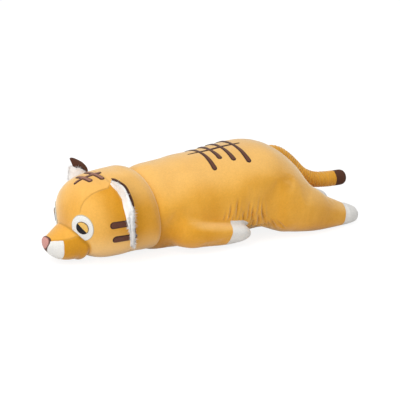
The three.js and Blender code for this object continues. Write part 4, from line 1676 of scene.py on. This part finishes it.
@dataclass
class Face:
    """The embroidered face, in millimetres from the middle of the head or the tip of the muzzle."""

    head: Head
    eye_turn: float = math.radians(36.5)
    eye_drop: float = 6.0
    eye_half_width: float = 21.5
    eye_half_height: float = 24.0
    iris_half_width: float = 12.2
    iris_half_height: float = 11.8
    iris_rise: float = 0.6
    iris_shift: float = 1.0
    lid_drop: float = 0.2
    lid_slope: float = math.radians(43)
    stripe_length: float = 40.0
    stripe_width: float = 12.5
    patch_end: float = -100.6
    patch_top: float = 45.6
    far: float = 150.0

    def dress(self, skin: Surface) -> None:
        """Lays every piece of the face onto the head's skin.

        Args:
            skin: the head's skin.
        """
        for side in Side:
            self.eye(skin, side)
            self.cheek_stripes(skin, side)
            self.muzzle_patch(skin, side)
        self.nose(skin)
        self.forehead_mark(skin)

    def eye(self, skin: Surface, side: Side) -> None:
        """The white, the pupil and the half-closed lid of one eye.

        Args:
            skin: what carries it.
            side: on which side it lies.
        """
        turn = self.eye_turn
        facing = np.array([-math.cos(turn), side.value * math.sin(turn), 0])
        right = np.array([-facing[1], facing[0], 0])
        middle = np.array(self.head.centre) - np.array([0, 0, self.eye_drop]) + facing * self.far
        muzzle = self.head.muzzle_skin

        def clear_of_muzzle(points: Array) -> Array:
            """How far places lie outside the muzzle."""
            return muzzle.distance(points.reshape(-1, 3))[0].reshape(points.shape[:-1])

        oval = oval_depth(self.eye_half_width, self.eye_half_height)
        iris_oval = oval_depth(self.iris_half_width, self.iris_half_height)
        outward = -side.value
        slope = np.array([outward * math.sin(self.lid_slope), math.cos(self.lid_slope)])
        iris_middle = np.array([outward * self.iris_shift, self.iris_rise])

        def iris(flat: Array, solid: Array) -> Array:
            """Depth inside the iris."""
            return iris_oval(flat - iris_middle, solid)

        def above_lid(flat: Array) -> Array:
            """How far flat places lie above the lid's edge."""
            return (flat - iris_middle) @ slope + self.lid_drop

        def white(flat: Array, solid: Array) -> Array:
            """Depth inside the white."""
            return np.minimum(oval(flat, solid), clear_of_muzzle(solid) - 1.0)

        def lid(flat: Array, solid: Array) -> Array:
            """Depth inside the lid."""
            return np.minimum(iris(flat, solid), above_lid(flat))

        def pupil(flat: Array, solid: Array) -> Array:
            """Depth inside the pupil, which is a little narrower than the lid."""
            return np.minimum(iris(flat, solid) - 0.2, -above_lid(flat) + 0.6)

        reach = self.eye_half_height + 2
        sheet = Sheet(tuple(middle), tuple(right), (0, 0, 1), reach, reach, 0.7)
        small = Sheet(tuple(middle), tuple(right), (0, 0, 1), reach * 0.62, reach * 0.65, 0.5)
        pieces = (
            ("eye_white", sheet, white, 1.2, 2.2, Finish.RING, 0.0, None),
            ("pupil", small, pupil, 0.8, 1.4, Finish.BLACK, 1.1, None),
            ("eyelid", small, lid, 1.5, 2.2, Finish.LID, 1.2, iris),
        )
        for name, where, depth, height, edge, finish, lift, tone in pieces:
            full = f"{side.label}_{name}"
            Mark(f"{full}_patch", where, depth, height, edge, finish, lift, tone).dress(skin, "head", full)

    def cheek_stripes(self, skin: Surface, side: Side) -> None:
        """The two stripes on a cheek, which end under the ear.

        Args:
            skin: what carries it.
            side: on which side it lies.
        """
        for name, ahead, rise in (("upper", 22.0, -1.0), ("lower", 15.0, -28.0)):
            centre = np.array(self.head.centre) + np.array([-ahead, side.value * self.far, rise])
            half = self.stripe_width / 2
            toward = -side.value
            start, end = (toward * half, 0), (toward * self.stripe_length, 1.2)
            reach = self.stripe_length + half
            sheet = Sheet(tuple(centre), (-side.value, 0, 0), (0, 0, 1), reach, half + 3, 0.7)
            full = f"{side.label}_{name}_cheek_stripe"
            depth = strokes_depth((Stroke(start, end, half, half * 0.94),))
            Mark(f"{full}_stitches", sheet, depth, 1.3, 2.2, Finish.STRIPE).dress(skin, "head", full)

    def muzzle_patch(self, skin: Surface, side: Side) -> None:
        """The white patch beside and under the nose.

        Args:
            skin: what carries it.
            side: on which side it lies.
        """
        facing = unit(np.array([-0.5, side.value * 0.85, -0.25]))
        right = unit(np.cross(np.array([0, 0, 1]), facing))
        rise = np.cross(facing, right)
        middle = np.array([self.patch_end - 4, side.value * 16.0, 27.0]) + facing * 60

        def depth(flat: Array, solid: Array) -> Array:
            """Depth inside the patch, which meets its twin under the nose."""
            x, y, z = np.moveaxis(solid, -1, 0)
            behind = self.patch_end + 2.0 * np.clip((30 - z) / 17, 0, 1.5) - x
            inside = np.minimum(behind, self.patch_top + 0.08 * (x + 100) - z)
            return np.minimum(inside, side.value * y - 0.5)

        sheet = Sheet(tuple(middle), tuple(right), tuple(rise), 26, 30, 0.8)
        full = f"{side.label}_muzzle_patch"
        Mark(f"{full}_pile", sheet, depth, 0.9, 1.6, Finish.WHITE).dress(skin, "head", full)

    def nose(self, skin: Surface) -> None:
        """The pink nose, a triangle with round corners that points down.

        Args:
            skin: what carries it.
        """
        half, high = 14.5, 13.0

        def depth(flat: Array, solid: Array) -> Array:
            """Depth inside a rounded triangle."""
            across, rising = np.abs(flat[..., 0]) / half, flat[..., 1] / high
            width = np.clip(1 - 0.62 * np.clip(0.35 - rising, 0, None) ** 1.15, 0.05, 1)
            reach = np.sqrt((across / width) ** 2.8 + np.abs(rising) ** 2.8 + 1e-9) ** (2 / 2.8)
            return (1 - reach) * high * 0.8

        facing = unit(np.array([-1.0, 0.0, 0.28]))
        rise = np.array([facing[2], 0, -facing[0]])
        centre = np.array([self.head.muzzle_tip + 2, 0, 36.5]) + facing * 60
        sheet = Sheet(tuple(centre), (0, -1, 0), tuple(rise), half + 2, high + 2, 0.6)

        def tone(flat: Array, solid: Array) -> Array:
            """The depth that the finish reads, less near the lower edge, which is darker."""
            return depth(flat, solid) - 6.0 * smooth_step(-flat[..., 1], 2, 11)

        Mark("nose_stitches", sheet, depth, 2.4, 4.5, Finish.PINK, 0.0, tone).dress(skin, "head", "nose")

    def forehead_mark(self, skin: Surface) -> None:
        """The stem and the two bars on the forehead, each a little askew as on hand-guided embroidery.

        Args:
            skin: what carries it.
        """
        strokes = (
            Stroke((-22, 0), (25, 0), 3.0, 4.0),
            Stroke((-2.5, -16), (-8.5, 15), 4.9, 4.2),
            Stroke((18, -22), (11, 21), 4.7, 3.9),
        )
        centre = (self.head.centre[0] - 27, 0, self.far * 1.4)
        sheet = Sheet(centre, (1, 0, 0), (0, 1, 0), 32, 28, 0.7)
        mark = Mark("forehead_mark_stitches", sheet, strokes_depth(strokes), 1.3, 2.0, Finish.FOREHEAD)
        mark.dress(skin, "head", "forehead_mark")


@dataclass
class BackMark:
    """The spine stripe and the bars that cross it, in millimetres behind the neck."""

    spine: Pair = (72.0, 174.0)
    bars: tuple[Pair, ...] = ((95, 52), (115.5, 34), (137, 45), (161, 56))
    height: float = 1.2

    def dress(self, skin: Surface) -> None:
        """Lays the mark onto the back.

        Args:
            skin: the torso's skin.
        """
        middle = sum(self.spine) / 2
        first, last = self.spine[0] - middle, self.spine[1] - middle
        strokes = [Stroke((first, 0), (0, 0), 0.8, 3.2), Stroke((0, 0), (last, 0), 3.2, 1.4)]
        for behind, half in self.bars:
            for side in Side:
                root = (behind - middle, 0)
                strokes.append(Stroke(root, (behind - middle, side.value * half), 2.6, 4.6))
        sheet = Sheet((NECK_PIVOT[0] + middle, 0, 240), (1, 0, 0), (0, 1, 0), -first + 4, 64, 0.9)
        depth = strokes_depth(tuple(strokes))
        mark = Mark("back_stripes_stitches", sheet, depth, self.height, 1.8, Finish.STRIPE)
        mark.dress(skin, "torso", "back_stripes")


@dataclass(frozen=True)
class Fluff:
    """Loose white fibres that grow where a leaf's pile is long. Sizes are in millimetres."""

    per_square_metre: float = 700000.0
    length: float = 6.5
    half_width: float = 0.35
    shortest: float = 0.5
    longest: float = 1.35
    spread: float = 0.75
    seed: int = 11

    def grow(self, piece: Piece, material: bpy.types.Material) -> None:
        """Adds the fibres to a leaf that knows its fluff and comb.

        Args:
            piece: the leaf; its fluff says how dense the fibres stand and its comb where they point.
            material: the fibres' finish.
        """
        recipe = Recipe(
            "ear_fluff", density=self.per_square_metre, length=self.length * MILLIMETRE,
            half_width=self.half_width * MILLIMETRE, shortest=self.shortest, longest=self.longest,
            spread=self.spread, seed=self.seed,
        )
        nodes, given = recipe.nodes, recipe.given
        density = nodes.math("MULTIPLY", nodes.named("fluff"), given["density"])
        inputs = {"Mesh": given["Mesh"], "Density": density, "Seed": given["seed"]}
        spots = nodes.add("GeometryNodeDistributePointsOnFaces", inputs)
        inputs = {"Seed": given["seed"], 0: (-1, -1, -1), 1: (1, 1, 1)}
        stray = nodes.add("FunctionNodeRandomValue", inputs, data_type="FLOAT_VECTOR")
        scaled = nodes.vector("SCALE", {0: stray.outputs[0], "Scale": given["spread"]})
        combed = nodes.vector("ADD", {0: spots.outputs["Normal"], 1: nodes.named("comb", "FLOAT_VECTOR")})
        lead = nodes.vector("ADD", {0: combed, 1: scaled})
        turn = nodes.add("FunctionNodeAlignRotationToVector", {"Vector": lead}, axis="Z")
        inputs = {"Seed": given["seed"], 2: given["shortest"], 3: given["longest"]}
        size = nodes.add("FunctionNodeRandomValue", inputs, data_type="FLOAT")
        cone = {"Vertices": 3, "Side Segments": 2, "Radius Top": 0.00003}
        cone |= {"Radius Bottom": given["half_width"], "Depth": given["length"]}
        fibre = nodes.add("GeometryNodeMeshCone", cone).outputs[0]
        inputs = {"Points": spots.outputs["Points"], "Instance": fibre, "Rotation": turn.outputs[0]}
        fibres = nodes.add("GeometryNodeInstanceOnPoints", inputs | {"Scale": size.outputs[1]}).outputs[0]
        joined = nodes.add("GeometryNodeJoinGeometry")
        nodes.tree.links.new(given["Mesh"], joined.inputs[0])
        nodes.tree.links.new(fibres, joined.inputs[0])
        recipe.finish(joined.outputs[0], material)
        recipe.apply(piece)


@dataclass
class Ears:
    """The ears, each a fluffy white front and a brown back sewn into the head's cross seam.

    The tables give shares of the head's radius against shares of the way from the ear's top to its foot.
    """

    head: Head
    base_top: float = math.radians(118)
    base_bottom: float = math.radians(224)
    edge_shares: tuple[Place, ...] = (
        (0.18, -0.62, 0.96),
        (0.14, -1.08, 1.02),
        (0.25, -1.12, 0.84),
        (0.28, -1.19, 0.4),
        (0.2, -1.15, -0.06),
        (0.15, -1.07, -0.46),
        (0.15, -0.9, -0.68),
    )
    way: tuple[float, ...] = (0, 0.06, 0.14, 0.28, 0.38, 0.55, 0.69, 0.86, 1)
    root_shares: tuple[float, ...] = (0.17, 0.18, 0.23, 0.24, 0.2, 0.19, 0.19, 0.19, 0.19)
    pile: tuple[float, ...] = (1.5, 2, 2.5, 3, 4.5, 10, 9.5, 6.5, 3)
    right_forward: tuple[float, ...] = (0, -0.02, -0.14, -0.27, -0.27, -0.15, 0)
    cup: float = 3.0
    back_thickness: float = 3.2
    steps: int = 120
    rows: int = 36
    sunk: float = 2.5
    brown_end: float = 0.52
    white_short: float = 3.6
    white_over: float = 4.5
    rolled_share: float = 0.27
    rolled_short: float = 17.0
    fluff: Fluff = Fluff()

    def sheet(self, side: Side, longer: Array) -> Array:
        """The ear's middle surface as a grid from its root to its free edge.

        Args:
            side: which ear.
            longer: how far each column goes beyond the free edge, in millimetres.

        Returns:
            The grid in millimetres.
        """
        rings = between(np.array(HEAD_SHARES), 24)
        ring = rings[np.argmin(np.abs(rings[:, 0] - self.head.seam_share))]
        angle = np.linspace(self.base_top, self.base_bottom, self.steps + 1)
        _, top, bottom, half, power, _ = ring
        across, rise = rounded_turn(angle, power)
        high = (top + bottom) / 2 + (top - bottom) / 2 * rise
        root = np.interp(np.linspace(0, 1, self.steps + 1), self.way, self.root_shares)
        base = np.stack([root, across * half, high], axis=1) * self.head.radius
        inward = -unit(base * np.array([0, 1, 1]))
        base = base + inward * self.sunk
        shares = np.array(self.edge_shares)
        if side is Side.RIGHT:
            shares[:, 0] += self.right_forward
        edge = resample(between(shares, 16), self.steps + 1) * self.head.radius
        edge = edge + unit(edge - base) * longer[:, None]
        out = np.linspace(0, 1, self.rows + 1)[None, :, None]
        grid = base[:, None] * (1 - out) + edge[:, None] * out
        grid[..., 0] += np.sin(out[..., 0] * math.pi) * self.cup
        grid[..., 1] *= -side.value
        return self.head.tilted(grid)

    def leaf(self, side: Side, front: bool) -> Piece:
        """One leaf of an ear as a closed mesh.

        Args:
            side: which ear.
            front: whether it is the white front.

        Returns:
            The leaf, which knows its fluff and comb.
        """
        steps = np.linspace(0, 1, self.steps + 1)
        rows = np.linspace(0, 1, self.rows + 1)
        brown_end = self.brown_end if side is Side.LEFT else self.rolled_share
        lower = smooth_step(steps, brown_end - 0.08, brown_end + 0.08)
        longer = 1.5 - 8.5 * lower
        if front:
            longer = lower * (self.white_over + self.white_short) - self.white_short
        if front and side is Side.RIGHT:
            # The right ear's brown back rolls forward at the top, so its white front ends further in there
            rolled = 1 - smooth_step(steps, self.rolled_share - 0.05, self.rolled_share + 0.05)
            longer = longer - self.rolled_short * rolled
        grid = self.sheet(side, longer)
        along = np.gradient(grid, axis=0)
        out = unit(np.gradient(grid, axis=1))
        normal = unit(np.cross(along, out)) * side.value * (-1 if front else 1)
        rim_start = 0.62 if front else 0.8
        round_rim = np.sqrt(np.clip(1 - np.clip((rows - rim_start) / (1 - rim_start), 0, 1) ** 2.4, 0, 1))
        ends = np.sqrt(np.clip(np.minimum(steps, 1 - steps) / 0.06, 0, 1))
        full = np.interp(steps, self.way, self.pile) if front else self.back_thickness + 0 * steps
        thick = (full * ends)[:, None] * round_rim[None, :]
        outer = grid + normal * thick[..., None]
        inner = grid + normal * 0.02
        loops = np.concatenate([inner, outer[:, ::-1]], axis=1)
        count = loops.shape[1]
        faces = []
        for step in range(self.steps):
            for index in range(count):
                here, there = step * count, (step + 1) * count
                after = (index + 1) % count
                faces.append((here + index, here + after, there + after, there + index))
        faces.append(tuple(range(count))[::-1])
        faces.append(tuple(self.steps * count + index for index in range(count)))
        name = f"{side.label}_ear_{'front' if front else 'back'}_leaf"
        piece = new_object(name, loops.reshape(-1, 3), faces)
        recalculate(piece)
        if front:
            self.mark_fluff(piece, lower, out)
        return piece

    def mark_fluff(self, piece: Piece, lower: Array, out: Array) -> None:
        """Stores where a white leaf's fibres stand and where they point.

        Args:
            piece: the leaf.
            lower: for each column how fluffy it is.
            out: the directions from root to rim.
        """
        rows = np.linspace(0, 1, self.rows + 1)
        amount = (0.12 + 0.88 * lower)[:, None] * smooth_step(rows, 0.1, 0.3)[None, :]
        outward = np.concatenate([0 * amount, amount[:, ::-1]], axis=1)
        outward[:, self.rows - 3:self.rows + 1] = amount[:, -4:]
        store(piece, "fluff", outward.ravel())
        down = np.array([0, 0, -0.9]) * lower[:, None, None]
        comb = out * 0.8 + down
        both = np.concatenate([comb, comb[:, ::-1]], axis=1)
        layer = piece.data.attributes.new("comb", "FLOAT_VECTOR", "POINT")
        layer.data.foreach_set("vector", both.reshape(-1).astype(np.float32))

    def dress(self) -> None:
        """Builds the four leaves and gives them their fabric."""
        for side in Side:
            middle = self.sheet(side, np.zeros(self.steps + 1))[self.steps // 2]
            # the white front and its fibres get the whiter velour, as painted light against the ear's shade
            for front, finish in ((True, Finish.FLUFF), (False, Finish.BROWN)):
                piece = self.leaf(side, front)
                if front:
                    self.fluff.grow(piece, finish.material)
                dress(piece, finish)
                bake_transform(piece)
                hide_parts(f"{side.label}_ear_{'front' if front else 'back'}")
                log_faces(piece)


def recalculate(piece: Piece) -> None:
    """Turns every face of a closed mesh outwards.

    Args:
        piece: the mesh object.
    """
    work = bmesh.new()
    work.from_mesh(piece.data)
    bmesh.ops.recalc_face_normals(work, faces=work.faces)
    work.to_mesh(piece.data)
    work.free()


@dataclass
class Tail:
    """The tail: a gathered golden sleeve with a brown tip, in millimetres."""

    radius: float = 13.5
    root: float = 322.0
    reach: float = 155.0
    root_height: float = 122.0
    tip_share: float = 0.85
    rib_spacing: float = 4.9
    rib_depth: float = 1.5
    path_shares: tuple[Pair, ...] = (
        (0, 1.09),
        (0.1, 1.075),
        (0.225, 0.98),
        (0.34, 0.845),
        (0.46, 0.7),
        (0.62, 0.6),
        (0.8, 0.565),
        (1, 0.555),
    )
    fold_way: tuple[float, ...] = (0, 0.1, 0.2, 0.45, 0.6, 0.78, 0.84, 0.87)
    fold_shares: tuple[float, ...] = (0.5, 0.7, 1, 1.1, 0.6, 0.45, 0.3, 0)
    bend_start: Place = (316.0, 0.0, 120.0)
    bend_end: Place = (352.0, 0.0, 108.0)
    sides: int = 64
    seed: int = 5

    def path(self) -> Array:
        """The tail's middle line, which starts inside the rump.

        Returns:
            Evenly spaced places in millimetres.
        """
        shares = between(np.array(self.path_shares), 24)
        x = self.root + shares[:, 0] * (self.reach - self.radius)
        line = np.stack([x, 0 * x, shares[:, 1] * self.root_height], axis=1)
        return resample(line, 400)

    def sleeve(self) -> Piece:
        """The gathered sleeve, drawn along its path by geometry nodes.

        Returns:
            The sleeve as a closed mesh.
        """
        line = self.path()
        line = line[line[:, 0] <= self.root + self.tip_share * self.reach]
        shares = (line[:, 0] - self.root) / self.reach
        steps = np.linalg.norm(np.diff(line, axis=0), axis=1)
        piece = added("tail_sleeve_gathered", bpy.data.meshes.new("tail_sleeve_gathered"))
        pairs = [(index, index + 1) for index in range(len(line) - 1)]
        piece.data.from_pydata(to_frame(line).tolist(), pairs, [])
        store(piece, "along", np.concatenate([[0], np.cumsum(steps)]) * MILLIMETRE)
        store(piece, "fold", np.interp(shares, self.fold_way, self.fold_shares))
        self.recipe().apply(piece)
        recalculate(piece)
        return piece

    def recipe(self) -> Recipe:
        """The nodes that sweep a ring along the path, ruffle it and paint shade into its furrows.

        Returns:
            The tree, ready to run on a line.
        """
        recipe = Recipe(
            "gathered_sleeve", radius=self.radius * MILLIMETRE, rib_spacing=self.rib_spacing * MILLIMETRE,
            rib_depth=self.rib_depth * MILLIMETRE, unevenness=0.0055, sides=self.sides, seed=self.seed,
        )
        nodes, given = recipe.nodes, recipe.given
        curve = nodes.add("GeometryNodeMeshToCurve", {0: given["Mesh"]}).outputs[0]
        inputs = {"Resolution": given["sides"], "Radius": given["radius"]}
        ring = nodes.add("GeometryNodeCurvePrimitiveCircle", inputs)
        inputs = {"Curve": curve, "Profile Curve": ring.outputs[0], "Fill Caps": True}
        tube = nodes.add("GeometryNodeCurveToMesh", inputs).outputs[0]
        along, fold = nodes.named("along"), nodes.named("fold")
        place = nodes.add("GeometryNodeInputPosition").outputs[0]
        inputs = {"Vector": place, "W": given["seed"], "Scale": 55.0, "Detail": 2.0}
        noise = nodes.add("ShaderNodeTexNoise", inputs, noise_dimensions="4D").outputs[0]
        stray = nodes.math("MULTIPLY", nodes.math("SUBTRACT", noise, 0.5), given["unevenness"])
        shifted = nodes.math("ADD", along, nodes.math("MULTIPLY", stray, 4.0))
        turns = nodes.math("MULTIPLY", nodes.math("DIVIDE", shifted, given["rib_spacing"]), 2 * math.pi)
        swing = nodes.math("SINE", nodes.math("MULTIPLY", turns, 0.5), 0.0)
        wave = nodes.math("SUBTRACT", nodes.math("ABSOLUTE", swing, 0.0), 0.75)
        ruffle = nodes.math("MULTIPLY", wave, fold)
        height = nodes.math("MULTIPLY", ruffle, given["rib_depth"])
        normal = nodes.add("GeometryNodeInputNormal").outputs[0]
        offset = nodes.vector("SCALE", {0: normal, "Scale": height})
        # painted shade in the furrows of the gathers, which the velour reads to darken them
        furrow = nodes.math("MULTIPLY", ruffle, -0.9)
        inputs = {"Geometry": tube, "Name": "seam", "Value": nodes.math("MAXIMUM", furrow, 0.0)}
        marked = nodes.add("GeometryNodeStoreNamedAttribute", inputs, data_type="FLOAT").outputs[0]
        ruffled = nodes.add("GeometryNodeSetPosition", {"Geometry": marked, "Offset": offset}).outputs[0]
        recipe.finish(ruffled, Finish.GOLDEN.material)
        return recipe

    def tip(self) -> Piece:
        """The brown tip: a short stuffed cap with a round end.

        Returns:
            The tip as a closed mesh.
        """
        line = self.path()
        tangent = unit(np.gradient(line, axis=0))
        keep = line[:, 0] >= self.root + self.tip_share * self.reach - 0.2
        line, tangent = line[keep], tangent[keep]
        turn = np.linspace(0, 2 * math.pi, self.sides, endpoint=False)
        flat = np.stack([0 * turn, np.cos(turn), np.sin(turn)], axis=1)
        rings = [place + flat * self.radius for place in line[:-1]]
        corner = 0.72
        for angle in np.linspace(0, math.pi / 2, 16)[:-1]:
            out = tangent[-1] * self.radius * math.sin(angle) ** corner
            rings.append(line[-1] + out + flat * self.radius * math.cos(angle) ** corner)
        start = line[0] + 0 * flat
        end = line[-1] + tangent[-1] * self.radius + 0 * flat
        piece = closed_form("tail_tip_plush", np.array([start, *rings, end]))
        recalculate(piece)
        return piece

    def dress(self) -> None:
        """Builds the sleeve and the tip and gives them their fabric."""
        sleeve, tip = self.sleeve(), self.tip()
        for piece, finish in ((sleeve, Finish.GOLDEN), (tip, Finish.BROWN)):
            crisp(piece)
            dress(piece, finish)
            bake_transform(piece)
            log_faces(piece)
        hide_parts("tail_sleeve", "tail_filling")
        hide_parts("tail_tip")


@dataclass
class Studio:
    """The pale floor, the soft light and the camera."""

    azimuth: float = math.radians(-30)
    elevation: float = math.radians(17)
    lens: float = 1400.0
    sensor: float = 36.0
    view_width: float = 694.0
    aim: Place = (186.3, 0.0, 68.7)
    floor_size: float = 6.0
    floor_drop: float = 0.0003

    def camera(self) -> None:
        """Places the camera far off with a long lens, at the photograph's angle."""
        data = bpy.data.cameras.new("camera")
        data.lens = self.lens
        data.sensor_width = self.sensor
        data.clip_start = 0.05
        data.clip_end = 200
        camera = added("camera", data)
        level = math.cos(self.elevation)
        across, ahead = math.sin(self.azimuth) * level, -math.cos(self.azimuth) * level
        back = Vector((across, ahead, math.sin(self.elevation)))
        distance = self.view_width * MILLIMETRE * self.lens / self.sensor
        camera.location = Vector(to_frame(np.array(self.aim))) + back * distance
        camera.rotation_euler = back.to_track_quat("Z", "Y").to_euler()
        bpy.context.scene.camera = camera

    def floor(self) -> None:
        """A pale floor that the camera sees as white, with the tiger's shadow on it."""
        half = self.floor_size / 2
        mesh = bpy.data.meshes.new("floor")
        corners = [(-half, -half, 0), (half, -half, 0), (half, half, 0), (-half, half, 0)]
        mesh.from_pydata(corners, [], [(0, 1, 2, 3)])
        floor = added("floor", mesh)
        floor.location.z = -self.floor_drop
        material = bpy.data.materials.new("pale_floor")
        material.use_nodes = True
        material.node_tree.nodes.clear()
        nodes = NodeTree(material.node_tree)
        plain = nodes.add("ShaderNodeBsdfDiffuse", {"Color": (0.8, 0.8, 0.8, 1)})
        faint = nodes.add("ShaderNodeBsdfDiffuse", {"Color": (0.22, 0.22, 0.22, 1)})
        glow = nodes.add("ShaderNodeEmission", {"Color": (1, 1, 1, 1), "Strength": 0.87})
        white = nodes.add("ShaderNodeAddShader", {0: faint.outputs[0], 1: glow.outputs[0]})
        inputs = {0: nodes.seen_directly(), 1: plain.outputs[0], 2: white.outputs[0]}
        mixed = nodes.add("ShaderNodeMixShader", inputs)
        nodes.add("ShaderNodeOutputMaterial", {"Surface": mixed.outputs[0]})
        mesh.materials.append(material)

    def world(self) -> None:
        """Even white light from all round, seen as white."""
        world = bpy.data.worlds.new("studio")
        bpy.context.scene.world = world
        world.use_nodes = True
        world.node_tree.nodes.clear()
        nodes = NodeTree(world.node_tree)
        soft = nodes.add("ShaderNodeBackground", {"Color": (1, 1, 1, 1), "Strength": 0.56})
        white = nodes.add("ShaderNodeBackground", {"Color": (1, 1, 1, 1), "Strength": 1.0})
        inputs = {0: nodes.seen_directly(), 1: soft.outputs[0], 2: white.outputs[0]}
        mixed = nodes.add("ShaderNodeMixShader", inputs)
        nodes.add("ShaderNodeOutputWorld", {"Surface": mixed.outputs[0]})

    def lamp(self, name: str, place: Place, size: float, power: float) -> None:
        """A square lamp that faces the tiger.

        Args:
            name: the lamp's name.
            place: where it hangs, in metres.
            size: its side, in metres.
            power: its power in watts.
        """
        data = bpy.data.lights.new(name, "AREA")
        data.energy = power
        data.size = size
        lamp = added(name, data)
        lamp.location = place
        lamp.rotation_euler = Vector(place).to_track_quat("Z", "Y").to_euler()

    def build(self) -> None:
        """Sets up the whole studio."""
        bpy.context.scene.view_settings.view_transform = "Standard"
        self.camera()
        self.floor()
        self.world()
        self.lamp("overhead_lamp", (-0.7, -0.3, 1.9), 1.2, 19)
        self.lamp("front_lamp", (-1.7, -1.1, 0.7), 1.2, 11.5)


def main() -> None:
    """Builds the tiger piece by piece."""
    logging.basicConfig(level=logging.INFO, format="%(message)s")
    Studio().build()
    torso_skin = Body().dress()
    BackMark().dress(torso_skin)
    head = Head()
    head_skin = head.dress()
    NeckPanel().dress()
    Face(head).dress(head_skin)
    Ears(head).dress()
    Tail().dress()


if __name__ == "__main__":
    main()
